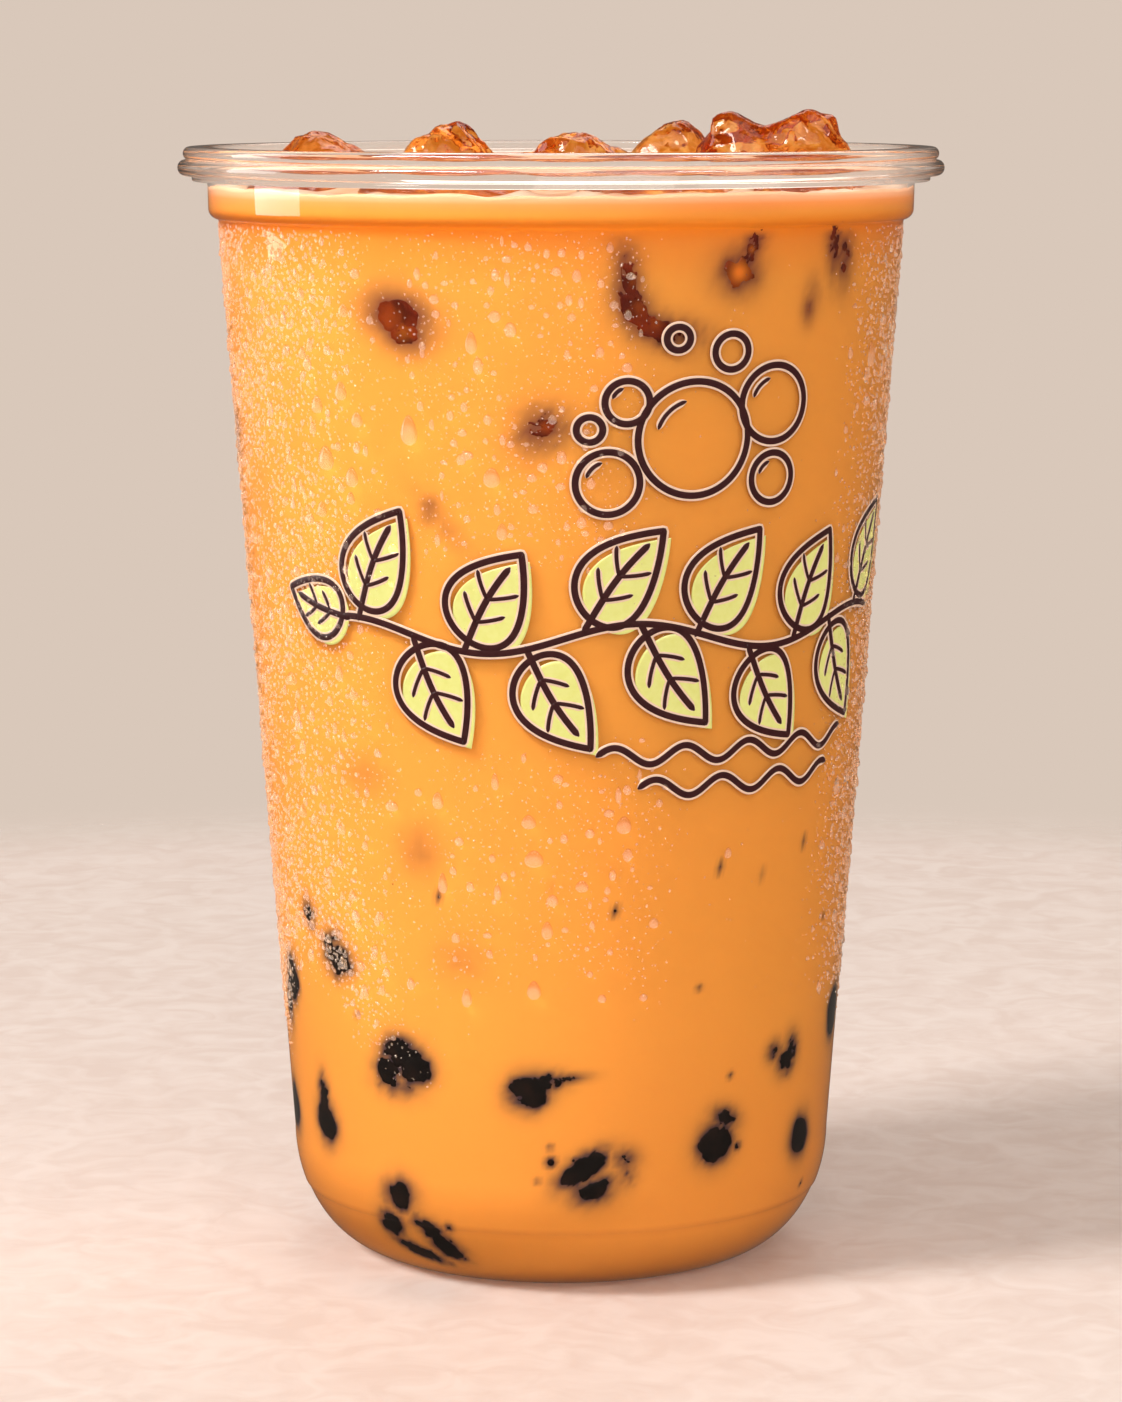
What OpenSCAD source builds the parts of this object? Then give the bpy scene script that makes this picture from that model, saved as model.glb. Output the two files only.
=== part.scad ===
// Cold milk tea in a clear moulded cup of the 90 mm rim size, filled nearly to
// the brim, with lumps of ice standing out of the drink.
// Millimetres. Z is up, the front faces -Y and the foot rests on Z = 0.

/* [Cup] */
// Diameter over the lower bead of the rim
rim_d = 90; // [88:0.5:94]
// Height from the table to the top of the rim
cup_h = 131.4; // [124:0.2:150]
// Diameter of the side just above the rounded toe
low_d = 64.2; // [60:0.2:68]
// Thickness of the side wall
wall = 0.8; // [0.6:0.1:1.2]

/* [Foot] */
// Height of the rounded toe under the straight side
toe_h = 14.5; // [11:0.5:18]
// Diameter of the ring that touches the table
foot_d = 42; // [38:0.5:46]
// Height of the fine moulding line round the toe
line_z = 8; // [6:0.5:9]
// How far the toe steps in below the moulding line
line_in = 0.2; // [0.1:0.05:0.4]
// Hollow under the floor, inside the foot ring
hollow_h = 1; // [0.6:0.1:1.6]
// Thickness of the floor
floor_t = 1.2; // [0.8:0.1:2]

/* [Shoulder and rim] */
// Depth of the stacking shoulder below the top of the rim
shoulder_drop = 8.4; // [7:0.1:9.4]
// How far the shoulder stands out from the side
shoulder_out = 1.25; // [1:0.05:1.6]
// Radius of the shoulder's lower corner
shoulder_round = 1.2; // [1:0.05:1.4]
// Height of the rolled rim, bead to bead
rim_h = 3.3; // [2.8:0.1:3.6]
// How far the upper bead stands back from the lower one
bead_back = 0.65; // [0.4:0.05:0.9]
// Length of the inner lip below the lower bead
lip_h = 0.65; // [0.4:0.05:0.9]

/* [Drink] */
// Depth of the drink's surface below the top of the rim
fill_gap = 5; // [4.6:0.1:8]

/* [Ice] */
// Size of the lumps across, against their usual size
ice_scale = 1; // [0.85:0.05:1]
// Extra height of every crest
ice_lift = 0; // [-1:0.2:1.5]
// How far each lump reaches down into the drink
ice_root = 12; // [8:1:16]
// Choice of the odd angles of the blocks in each lump
ice_seed = 7; // [1:1:40]

/* [Hidden] */
// The shoulder band opens a little towards the rim
band_draft = 0.15;
rim_r = rim_d / 2;
band_r = rim_r - 3.55;
neck_r = band_r + band_draft;
top_r = band_r - shoulder_out;
low_r = low_d / 2;
foot_r = foot_d / 2;
foot_w = 3;
foot_slope = 2;
toe_w = low_r - foot_r;

// Heights up the side
floor_z = hollow_h + floor_t;
step_z = cup_h - shoulder_drop;
side_top = step_z - 0.6;
corner_z = step_z + shoulder_round;
level_z = cup_h - fill_gap;
line_a = acos(1 - line_z / toe_h);

// Rolled rim: plate over a hollow, two beads outside and a short lip inside them
rim_z = cup_h - rim_h;
plate_t = 1;
lip_r = rim_r - 2.1;
lip_t = 0.4;
low_bead_w = 0.8;
low_bead_h = 0.27 * rim_h;
up_bead_w = 0.7;
up_bead_h = 0.23 * rim_h;
mouth_r = neck_r - wall;
mouth_round = 0.4;

// Points along the longer and the shorter round corners
LONG_ARC = 12;
SHORT_ARC = 6;

// Sides and rings of every lump
ICE_SIDES = 7;
ICE_RINGS = 5;

// Across, back, crest above the rim, width, depth, turn, and the crest's share
// of the width and its shift, for each lump
LUMPS = [
    [-28.0, -4.0, 2.0, 20, 18, 8, 0.22, 0.02],
    [-14.6, 10.8, 2.9, 17, 16, -6, 0.24, 0.12],
    [2.5, -8.5, 2.1, 21, 15, -4, 0.20, -0.05],
    [12.5, 13.0, 2.9, 16, 16, 12, 0.18, 0.10],
    [25.6, -1.5, 4.4, 25, 17, 6, 0.62, -0.03],
    [-12.5, -27.0, -1.6, 23, 14, -24, 0.30, 0.00],
    [10.5, -28.0, -1.9, 20, 13, 20, 0.34, 0.05],
    [27.0, -19.0, -1.5, 16, 13, 54, 0.30, 0.00],
    [-25.0, 20.0, -0.8, 18, 13, 48, 0.30, 0.00],
    [-3.0, 30.0, -1.5, 19, 12, 4, 0.30, 0.04],
    [21.2, 24.8, -1.2, 17, 13, -40, 0.30, 0.00],
];

ICE_NAMES = [for (i = [1 : len(LUMPS)]) str("ice_", i)];

// Points of a round corner of width a and height b about a centre
function corner(cx, cz, a, b, from, to, n) = [
    for (i = [0 : n])
        let (t = from + (to - from) * i / n)
        [cx + a * cos(t), cz + b * sin(t)]
];

// Rounded toe of the outside, from the foot ring up to the straight side
function toe_outer() = concat(
    corner(foot_r, toe_h, toe_w - line_in, toe_h, -90, line_a - 90, LONG_ARC),
    corner(foot_r, toe_h, toe_w, toe_h, line_a - 90, 0, SHORT_ARC)
);

// Rolled rim: under the plate, down the lip, round the lower and the upper bead
function rim_outer() = concat(
    [
        [neck_r, cup_h - plate_t],
        [lip_r, cup_h - plate_t],
        [lip_r, rim_z - lip_h],
        [lip_r + lip_t, rim_z - lip_h],
        [rim_r - 2 * low_bead_w, rim_z],
    ],
    corner(
        rim_r - low_bead_w, rim_z + low_bead_h,
        low_bead_w, low_bead_h, -90, 80, SHORT_ARC
    ),
    corner(
        rim_r - bead_back - up_bead_w, cup_h - up_bead_h,
        up_bead_w, up_bead_h, -70, 90, SHORT_ARC
    )
);

// Inside of the cup, from the shoulder's corner down to the floor
function side_inner() = concat(
    corner(
        top_r, corner_z,
        shoulder_out - wall, shoulder_round - wall, 0, -90, SHORT_ARC
    ),
    [[top_r - wall, side_top + wall]],
    corner(foot_r, toe_h, toe_w - wall, toe_h - floor_z, 0, -90, LONG_ARC),
    [[0, floor_z]]
);

// Inside radius of the shoulder band at a height
function inner_r(z) =
    let (low = top_r + shoulder_out - wall)
    let (share = (z - corner_z) / (cup_h - mouth_round - corner_z))
    low + (mouth_r - low) * share;

// Outline of the cup wall, one closed run round outside and inside
module cup_outline() {
    polygon(concat(
        [
            [0, hollow_h],
            [foot_r - foot_w - foot_slope, hollow_h],
            [foot_r - foot_w, 0],
        ],
        toe_outer(),
        [[top_r, side_top]],
        corner(top_r, corner_z, shoulder_out, shoulder_round, -85, 0, SHORT_ARC),
        rim_outer(),
        corner(mouth_r + mouth_round, cup_h - mouth_round, mouth_round, mouth_round, 90, 180, SHORT_ARC),
        side_inner()
    ));
}

// Outline of the drink, filling the inside up to its level
module drink_outline() {
    polygon(concat(
        [
            [0, level_z],
            [inner_r(level_z), level_z],
        ],
        side_inner()
    ));
}

// One uneven ring of a lump: half width a, half depth b, height z, moved across
function ring(a, b, z, shift, uneven, seed) =
    let (odd = rands(-1, 1, 3 * ICE_SIDES, seed))
    [
        for (k = [0 : ICE_SIDES - 1])
            let (t = 360 * k / ICE_SIDES + 9 * odd[3 * k])
            let (grow = 1 + 0.1 * odd[3 * k + 1])
            [shift + a * grow * cos(t), b * grow * sin(t), z + uneven * odd[3 * k + 2]]
    ];

// Corners of lump i: a sunk root, the belly, the waterline, the slope, the crest
function lump_points(i) =
    let (spot = LUMPS[i], wide = spot[3] * ice_scale / 2, deep = spot[4] * ice_scale / 2)
    let (crest = cup_h + spot[2] + ice_lift, root = level_z - ice_root)
    let (slope_z = level_z + 0.58 * (crest - level_z), slope = 0.56 + 0.3 * spot[6])
    let (shift = spot[7] * 2 * wide, seed = 100 * ice_seed + 10 * i)
    concat(
        [[0, 0, root]],
        ring(0.42 * wide, 0.42 * deep, root + 1.4, 0, 0.4, seed + 1),
        ring(0.86 * wide, 0.86 * deep, level_z - 5.4, 0, 0.6, seed + 2),
        ring(0.97 * wide, 0.94 * deep, level_z + 0.5, 0, 0.2, seed + 3),
        ring(slope * wide, 0.62 * deep, slope_z, 0.6 * shift, 0.3, seed + 4),
        ring(spot[6] * wide, 0.3 * deep, crest - 0.5, shift, 0.25, seed + 5),
        [[shift, 0, crest]]
    );

// Triangles that close the rings between the two end points
function lump_faces() =
    let (n = ICE_SIDES, last = ICE_RINGS * n + 1)
    concat(
        [for (k = [0 : n - 1]) [0, 1 + k, 1 + (k + 1) % n]],
        [
            for (r = [0 : ICE_RINGS - 2], k = [0 : n - 1])
                let (low = 1 + r * n, up = low + n, next = (k + 1) % n)
                each [[low + k, up + k, up + next], [low + k, up + next, low + next]]
        ],
        [for (k = [0 : n - 1]) [last, last - n + (k + 1) % n, last - n + k]]
    );

// A lump of ice, half sunk, wide at the surface and small at its crest
module lump(i) {
    translate([LUMPS[i][0], LUMPS[i][1], 0])
        rotate([0, 0, LUMPS[i][5]])
            polyhedron(lump_points(i), lump_faces());
}

// The clear cup, moulded in one piece
module cup() {
    color([0.93, 0.94, 0.94, 0.4])
        rotate_extrude($fn = 180)
            cup_outline();
}

// The milk tea, a solid up to its level with the lumps of ice cut out
module drink() {
    color([0.95, 0.59, 0.25])
        difference() {
            rotate_extrude($fn = 180)
                drink_outline();
            for (i = [0 : len(LUMPS) - 1])
                lump(i);
        }
}

// The lumps that stand out of the drink
module ice(i) {
    color([0.62, 0.32, 0.12])
        lump(i);
}

cup();
drink();
ice(0);  // ice_1
ice(1);  // ice_2
ice(2);  // ice_3
ice(3);  // ice_4
ice(4);  // ice_5
ice(5);  // ice_6
ice(6);  // ice_7
ice(7);  // ice_8
ice(8);  // ice_9
ice(9);  // ice_10
ice(10);  // ice_11
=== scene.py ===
"""Cold milk tea with tapioca pearls and ice in a clear moulded cup, dressed for a render.

Classes hold their sizes in millimetres and the meshes are in metres. A turn is the angle round
the cup in degrees: 0 is the printed front, which faces -Y, and it grows towards +X.
"""

import logging
import math
from dataclasses import dataclass
from enum import Enum
from typing import Any

import bpy
import numpy as np
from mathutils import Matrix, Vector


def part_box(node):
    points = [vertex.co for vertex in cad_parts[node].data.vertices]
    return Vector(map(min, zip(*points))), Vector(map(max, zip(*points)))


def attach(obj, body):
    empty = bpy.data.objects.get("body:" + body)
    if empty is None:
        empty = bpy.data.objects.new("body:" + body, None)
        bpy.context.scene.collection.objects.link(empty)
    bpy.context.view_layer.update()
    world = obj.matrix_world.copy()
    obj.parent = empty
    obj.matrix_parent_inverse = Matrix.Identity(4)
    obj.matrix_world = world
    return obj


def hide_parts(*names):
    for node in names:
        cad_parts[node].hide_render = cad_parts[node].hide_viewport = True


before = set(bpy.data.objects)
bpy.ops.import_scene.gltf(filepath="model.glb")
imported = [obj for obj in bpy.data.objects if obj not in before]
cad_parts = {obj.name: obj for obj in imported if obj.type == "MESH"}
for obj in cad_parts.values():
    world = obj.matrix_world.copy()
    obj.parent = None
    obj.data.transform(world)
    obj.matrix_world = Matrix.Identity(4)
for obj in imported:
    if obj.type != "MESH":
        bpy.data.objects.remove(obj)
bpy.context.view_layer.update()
MM = 0.001
LOG = logging.getLogger("bubble_tea")


class Slot(Enum):
    """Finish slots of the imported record."""

    CUP = "clear_cup"
    TEA = "milk_tea"
    ICE = "ice"
    TAPIOCA = "tapioca"
    WATER = "water"
    LIME = "print_lime"
    MAROON = "print_maroon"


# ---------------------------------------------------------------- colour and nodes


def linear(code: str) -> tuple[float, float, float, float]:
    """Turns an sRGB hex colour into linear light.

    Args:
        code: six hex digits, with or without a leading #.

    Returns:
        Linear red, green, blue and an alpha of 1.
    """
    digits = code.lstrip("#")
    srgb = np.array([int(digits[i : i + 2], 16) for i in (0, 2, 4)]) / 255
    light = np.where(srgb <= 0.04045, srgb / 12.92, ((srgb + 0.055) / 1.055) ** 2.4)
    return (*light.tolist(), 1.0)


def add_node(tree: bpy.types.NodeTree, kind: str, links: dict[Any, Any], **settings: Any) -> bpy.types.Node:
    """Adds one node, with its settings, its socket values and its links.

    Args:
        tree: node tree that takes the node.
        kind: Blender's type name without its ShaderNode prefix.
        links: input name or number to a value, or to an output socket that feeds it.
        **settings: properties of the node itself.

    Returns:
        The new node.
    """
    node = tree.nodes.new("ShaderNode" + kind)
    for name, value in settings.items():
        setattr(node, name, value)
    for key, value in links.items():
        if isinstance(value, bpy.types.NodeSocket):
            tree.links.new(value, node.inputs[key])
        else:
            node.inputs[key].default_value = value
    return node


def set_stops(ramp: bpy.types.ColorRamp, stops: list[tuple[float, Any]]) -> None:
    """Sets the stops of a colour ramp.

    Args:
        ramp: the ramp to fill.
        stops: place from 0 to 1 and a hex colour or a grey value, in rising order.
    """
    while len(ramp.elements) < len(stops):
        ramp.elements.new(0.5)
    for element, (place, shade) in zip(ramp.elements, stops):
        element.position = place
        element.color = linear(shade) if isinstance(shade, str) else (shade, shade, shade, 1)


def new_material(name: str) -> tuple[bpy.types.Material, bpy.types.NodeTree, bpy.types.Node]:
    """Makes an empty node material.

    Args:
        name: name of the material.

    Returns:
        The material, its tree and its output node.
    """
    material = bpy.data.materials.new(name)
    material.use_nodes = True
    tree = material.node_tree
    tree.nodes.clear()
    return material, tree, tree.nodes.new("ShaderNodeOutputMaterial")


def let_lamps_through(tree: bpy.types.NodeTree, shader: bpy.types.Node, output: bpy.types.Node) -> None:
    """Lets lamp light pass a clear body straight, as thin clear walls and drops do.

    Args:
        tree: node tree of the material.
        shader: the clear body's shader.
        output: output node of the material.
    """
    path = add_node(tree, "LightPath", {})
    clear = add_node(tree, "BsdfTransparent", {})
    mix = add_node(
        tree, "MixShader", {0: path.outputs["Is Shadow Ray"], 1: shader.outputs[0], 2: clear.outputs[0]}
    )
    tree.links.new(mix.outputs[0], output.inputs["Surface"])


def mottled(
    tree: bpy.types.NodeTree, size_mm: float, stops: list[tuple[float, Any]], detail: float,
    swirl: float = 0.0,
) -> bpy.types.NodeSocket:
    """Colours a surface in soft patches: noise on the object's own coordinates, through a ramp.

    Args:
        tree: node tree of the material.
        size_mm: usual size of a patch.
        stops: stops of the ramp.
        detail: how many finer layers the noise has.
        swirl: how far the patches are drawn out into veins.

    Returns:
        The colour.
    """
    place = add_node(tree, "TexCoord", {})
    settings = {"Scale": 1 / (size_mm * MM), "Detail": detail, "Distortion": swirl}
    patches = add_node(tree, "TexNoise", {"Vector": place.outputs["Object"], **settings})
    ramp = add_node(tree, "ValToRGB", {0: patches.outputs[0]})
    set_stops(ramp.color_ramp, stops)
    return ramp.outputs[0]


def rippled(
    tree: bpy.types.NodeTree, size_mm: float, height_mm: float, strength: float, detail: float,
    swirl: float = 0.0,
) -> bpy.types.NodeSocket:
    """Ripples a surface: noise on the object's own coordinates, as a bump.

    Args:
        tree: node tree of the material.
        size_mm: usual distance between ripples.
        height_mm: height of a full ripple.
        strength: share of it that shows.
        detail: how many finer layers the noise has.
        swirl: how far the ripples are drawn out.

    Returns:
        The normal.
    """
    place = add_node(tree, "TexCoord", {})
    settings = {"Scale": 1 / (size_mm * MM), "Detail": detail, "Distortion": swirl}
    waves = add_node(tree, "TexNoise", {"Vector": place.outputs["Object"], **settings})
    bump = add_node(
        tree, "Bump", {"Height": waves.outputs[0], "Strength": strength, "Distance": height_mm * MM}
    )
    return bump.outputs[0]


# ---------------------------------------------------------------- shapes


@dataclass
class Surface:
    """A mesh in millimetres: its points, its four-sided and three-sided faces, and which of the
    three-sided ones are flat."""

    points: np.ndarray
    quads: np.ndarray
    tris: np.ndarray
    flat: np.ndarray | None = None

    def outward(self) -> "Surface":
        """Turns every face to look outwards, by the sign of the volume they shut in.

        Returns:
            The same surface, or one with its faces turned round.
        """
        halves = [self.tris, self.quads[:, [0, 1, 2]], self.quads[:, [0, 2, 3]]]
        a, b, c = (self.points[np.concatenate(halves)[:, i]] for i in range(3))
        if np.einsum("ij,ij->i", a, np.cross(b, c)).sum() >= 0:
            return self
        return Surface(self.points, self.quads[:, ::-1], self.tris[:, ::-1], self.flat)


def grid_surface(
    grid: np.ndarray, poles: tuple[np.ndarray | None, np.ndarray | None], ring: bool = False
) -> Surface:
    """Skins a grid of rows that each run round and shut on themselves.

    Args:
        grid: rows by columns by 3 points, the columns wrapping round.
        poles: a point that shuts the first row and one that shuts the last, or None.
        ring: also joins the last row to the first, as on a ring.

    Returns:
        The skin, its faces outwards.
    """
    rows, cols = grid.shape[:2]
    spots = np.arange(rows * cols).reshape(rows, cols)
    low = spots if ring else spots[:-1]
    high = np.roll(spots, -1, 0) if ring else spots[1:]
    quads = np.stack([low, np.roll(low, -1, 1), np.roll(high, -1, 1), high], -1).reshape(-1, 4)
    points, fans, top = [grid.reshape(-1, 3)], [], rows * cols
    for pole, row, step in ((poles[0], spots[0], 1), (poles[1], spots[-1], -1)):
        if pole is not None:
            here, there = (row, np.roll(row, -1)) if step < 0 else (np.roll(row, -1), row)
            fans.append(np.stack([here, there, np.full(cols, top)], -1))
            points.append(np.reshape(pole, (1, 3)))
            top += 1
    tris = np.concatenate(fans) if fans else np.zeros((0, 3), int)
    return Surface(np.concatenate(points), quads, tris).outward()


def joined(surfaces: list[Surface]) -> Surface:
    """Joins several surfaces into one, each kept whole.

    Args:
        surfaces: the surfaces.

    Returns:
        One surface that holds them all.
    """
    starts = np.cumsum([0] + [len(s.points) for s in surfaces])
    return Surface(
        np.concatenate([s.points for s in surfaces]),
        np.concatenate([s.quads + n for s, n in zip(surfaces, starts)]),
        np.concatenate([s.tris + n for s, n in zip(surfaces, starts)]),
    )


def repeated(shape: Surface, places: np.ndarray) -> Surface:
    """Repeats one small shape's faces over many copies of its points.

    Args:
        shape: the shape, whose faces are used.
        places: copies by points by 3, where each copy's points lie.

    Returns:
        One surface with every copy.
    """
    copies, count = places.shape[:2]
    starts = (np.arange(copies) * count)[:, None, None]
    quads = (shape.quads[None] + starts).reshape(-1, 4)
    tris = (shape.tris[None] + starts).reshape(-1, 3)
    flat = None if shape.flat is None else np.tile(shape.flat, copies)
    return Surface(places.reshape(-1, 3), quads, tris, flat)


def make_piece(name: str, surface: Surface, material: bpy.types.Material) -> bpy.types.Object:
    """Makes a shaded object that rides on the cup's body.

    Args:
        name: name of the piece.
        surface: its mesh in millimetres.
        material: its finish.

    Returns:
        The new object, standing at the origin.
    """
    mesh = bpy.data.meshes.new(name)
    corners = np.concatenate([surface.quads.ravel(), surface.tris.ravel()]).astype(np.int32)
    sizes = np.repeat([4, 3], [len(surface.quads), len(surface.tris)])
    mesh.vertices.add(len(surface.points))
    mesh.vertices.foreach_set("co", (surface.points * MM).astype(np.float32).ravel())
    mesh.loops.add(len(corners))
    mesh.loops.foreach_set("vertex_index", corners)
    mesh.polygons.add(len(sizes))
    mesh.polygons.foreach_set("loop_start", np.concatenate([[0], np.cumsum(sizes)[:-1]]).astype(np.int32))
    mesh.update(calc_edges=True)
    smooth_faces = np.ones(len(sizes), bool)
    if surface.flat is not None:
        smooth_faces[len(surface.quads) :] = ~surface.flat
    mesh.polygons.foreach_set("use_smooth", smooth_faces)
    mesh.materials.append(material)
    piece = bpy.data.objects.new(name, mesh)
    bpy.context.scene.collection.objects.link(piece)
    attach(piece, "root")
    LOG.info("%s: %d points, %d faces", name, len(surface.points), len(sizes))
    return piece


def set_field(piece: bpy.types.Object, name: str, values: np.ndarray) -> None:
    """Stores one number for each point of a piece, for its material to read.

    Args:
        piece: the piece.
        name: name of the attribute.
        values: one value for each point.
    """
    layer = piece.data.attributes.new(name, "FLOAT", "POINT")
    layer.data.foreach_set("value", values.astype(np.float32))


def uneven(points: np.ndarray, size: float, seed: int, waves: int = 9) -> np.ndarray:
    """A smooth random field: sine waves of random direction, length and phase added up.

    Args:
        points: any shape by 2 or 3 coordinates, in millimetres.
        size: usual distance between bumps.
        seed: choice of the waves.
        waves: how many are added.

    Returns:
        One value for each point, spread about 1 either side of 0.
    """
    rng = np.random.default_rng(seed)
    way = rng.normal(size=(waves, points.shape[-1]))
    way /= np.linalg.norm(way, axis=1, keepdims=True)
    way *= 2 * np.pi / (size * rng.uniform(0.7, 1.6, (waves, 1)))
    phase = rng.uniform(0, 2 * np.pi, waves)
    return np.sin(points @ way.T + phase).sum(-1) / math.sqrt(waves / 2)


def layered(
    points: np.ndarray, waves: tuple[tuple[float, float], ...], seed: int, scale: float = 1.0
) -> np.ndarray:
    """Adds uneven fields up, the seed growing by 1 from each to the next.

    Args:
        points: any shape by 2 or 3 coordinates.
        waves: each field's height and its distance between bumps.
        seed: choice of the first field.
        scale: what every distance is multiplied by.

    Returns:
        One value for each point.
    """
    return sum(high * uneven(points, scale * size, seed + i) for i, (high, size) in enumerate(waves))


def smooth(low: float, high: float, value: np.ndarray) -> np.ndarray:
    """Smooth step: 0 below low, 1 above high and 3t^2 - 2t^3 between."""
    t = np.clip((value - low) / (high - low), 0, 1)
    return t * t * (3 - 2 * t)


def arc(
    middle: tuple[float, float], half: tuple[float, float], turn: tuple[float, float], count: int
) -> np.ndarray:
    """Points of an arc of an ellipse: the middle plus half sizes times cosine and sine.

    Args:
        middle: radius and height of its centre.
        half: half width and half height.
        turn: first and last angle in degrees.
        count: number of points.

    Returns:
        count by 2 radii and heights.
    """
    t = np.radians(np.linspace(turn[0], turn[1], count))
    return np.stack([middle[0] + half[0] * np.cos(t), middle[1] + half[1] * np.sin(t)], -1)


def eased(run: np.ndarray, reach: float, steps: int = 3) -> np.ndarray:
    """Rounds every inner corner of a run by a parabola that leaves it reach before the corner.

    Args:
        run: count by 2 points.
        reach: distance from the corner, at most 0.45 of a side.
        steps: points for each corner.

    Returns:
        The rounded run.
    """
    before, corner, after = run[:-2], run[1:-1], run[2:]
    back, on = before - corner, after - corner
    side_b = np.linalg.norm(back, axis=1, keepdims=True)
    side_a = np.linalg.norm(on, axis=1, keepdims=True)
    start = corner + back * np.minimum(reach / side_b, 0.45)
    end = corner + on * np.minimum(reach / side_a, 0.45)
    t = np.linspace(0, 1, steps)[None, :, None]
    bend = (1 - t) ** 2 * start[:, None] + 2 * t * (1 - t) * corner[:, None] + t**2 * end[:, None]
    return np.concatenate([run[:1], bend.reshape(-1, 2), run[-1:]])


def evened(run: np.ndarray, step: float) -> np.ndarray:
    """Adds points along a run so that none of its sides is longer than step.

    Args:
        run: count by 2 points.
        step: longest side that stays.

    Returns:
        The run with its points and the added ones.
    """
    length = np.concatenate([[0], np.cumsum(np.linalg.norm(np.diff(run, axis=0), axis=1))])
    extra = np.arange(0, length[-1], step)
    far = np.abs(extra[:, None] - length[None]).min(1) > 0.4 * step
    spots = np.sort(np.concatenate([length, extra[far]]))
    return np.stack([np.interp(spots, length, run[:, i]) for i in (0, 1)], -1)


def turned(run: np.ndarray, count: int) -> np.ndarray:
    """Turns a run of radii and heights about the axis: x = r sin t, y = -r cos t.

    Args:
        run: rows by 2 radii and heights.
        count: number of columns round the axis.

    Returns:
        Rows by count by 3 points.
    """
    t = np.linspace(0, 2 * np.pi, count, endpoint=False)
    r, z = run[:, :1], run[:, 1:]
    return np.stack([r * np.sin(t), -r * np.cos(t), z + 0 * t], -1)


class Outline:
    """A run of radii and heights, turned about the axis, as a chart of a round wall."""

    def __init__(self, run: np.ndarray) -> None:
        """Measures the run along its own length.

        Args:
            run: count by 2 radii and heights, from the axis outwards and up.
        """
        self.run = run
        step = np.diff(run, axis=0)
        self.along = np.concatenate([[0], np.cumsum(np.linalg.norm(step, axis=1))])
        slope = np.gradient(run, self.along, axis=0)
        slope /= np.linalg.norm(slope, axis=1, keepdims=True)
        self.normal = np.stack([slope[:, 1], -slope[:, 0]], -1)

    def radius(self, along: np.ndarray) -> np.ndarray:
        """Radius of the wall at a distance along it."""
        return np.interp(along, self.along, self.run[:, 0])

    def along_at(self, height: np.ndarray | float) -> np.ndarray:
        """Distance along the wall at a height."""
        return np.interp(height, self.run[:, 1], self.along)

    def place(self, turn: np.ndarray, along: np.ndarray, lift: np.ndarray | float) -> np.ndarray:
        """Points on the wall, lifted off it along its own normal.

        Args:
            turn: angles round the cup in degrees.
            along: distances along the wall.
            lift: height over the wall, negative inside it.

        Returns:
            The points, by 3 coordinates.
        """
        r, z = (np.interp(along, self.along, self.run[:, i]) for i in (0, 1))
        nr, nz = (np.interp(along, self.along, self.normal[:, i]) for i in (0, 1))
        r, z, t = r + lift * nr, z + lift * nz, np.radians(turn)
        return np.stack(np.broadcast_arrays(r * np.sin(t), -r * np.cos(t), z), -1)


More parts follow.
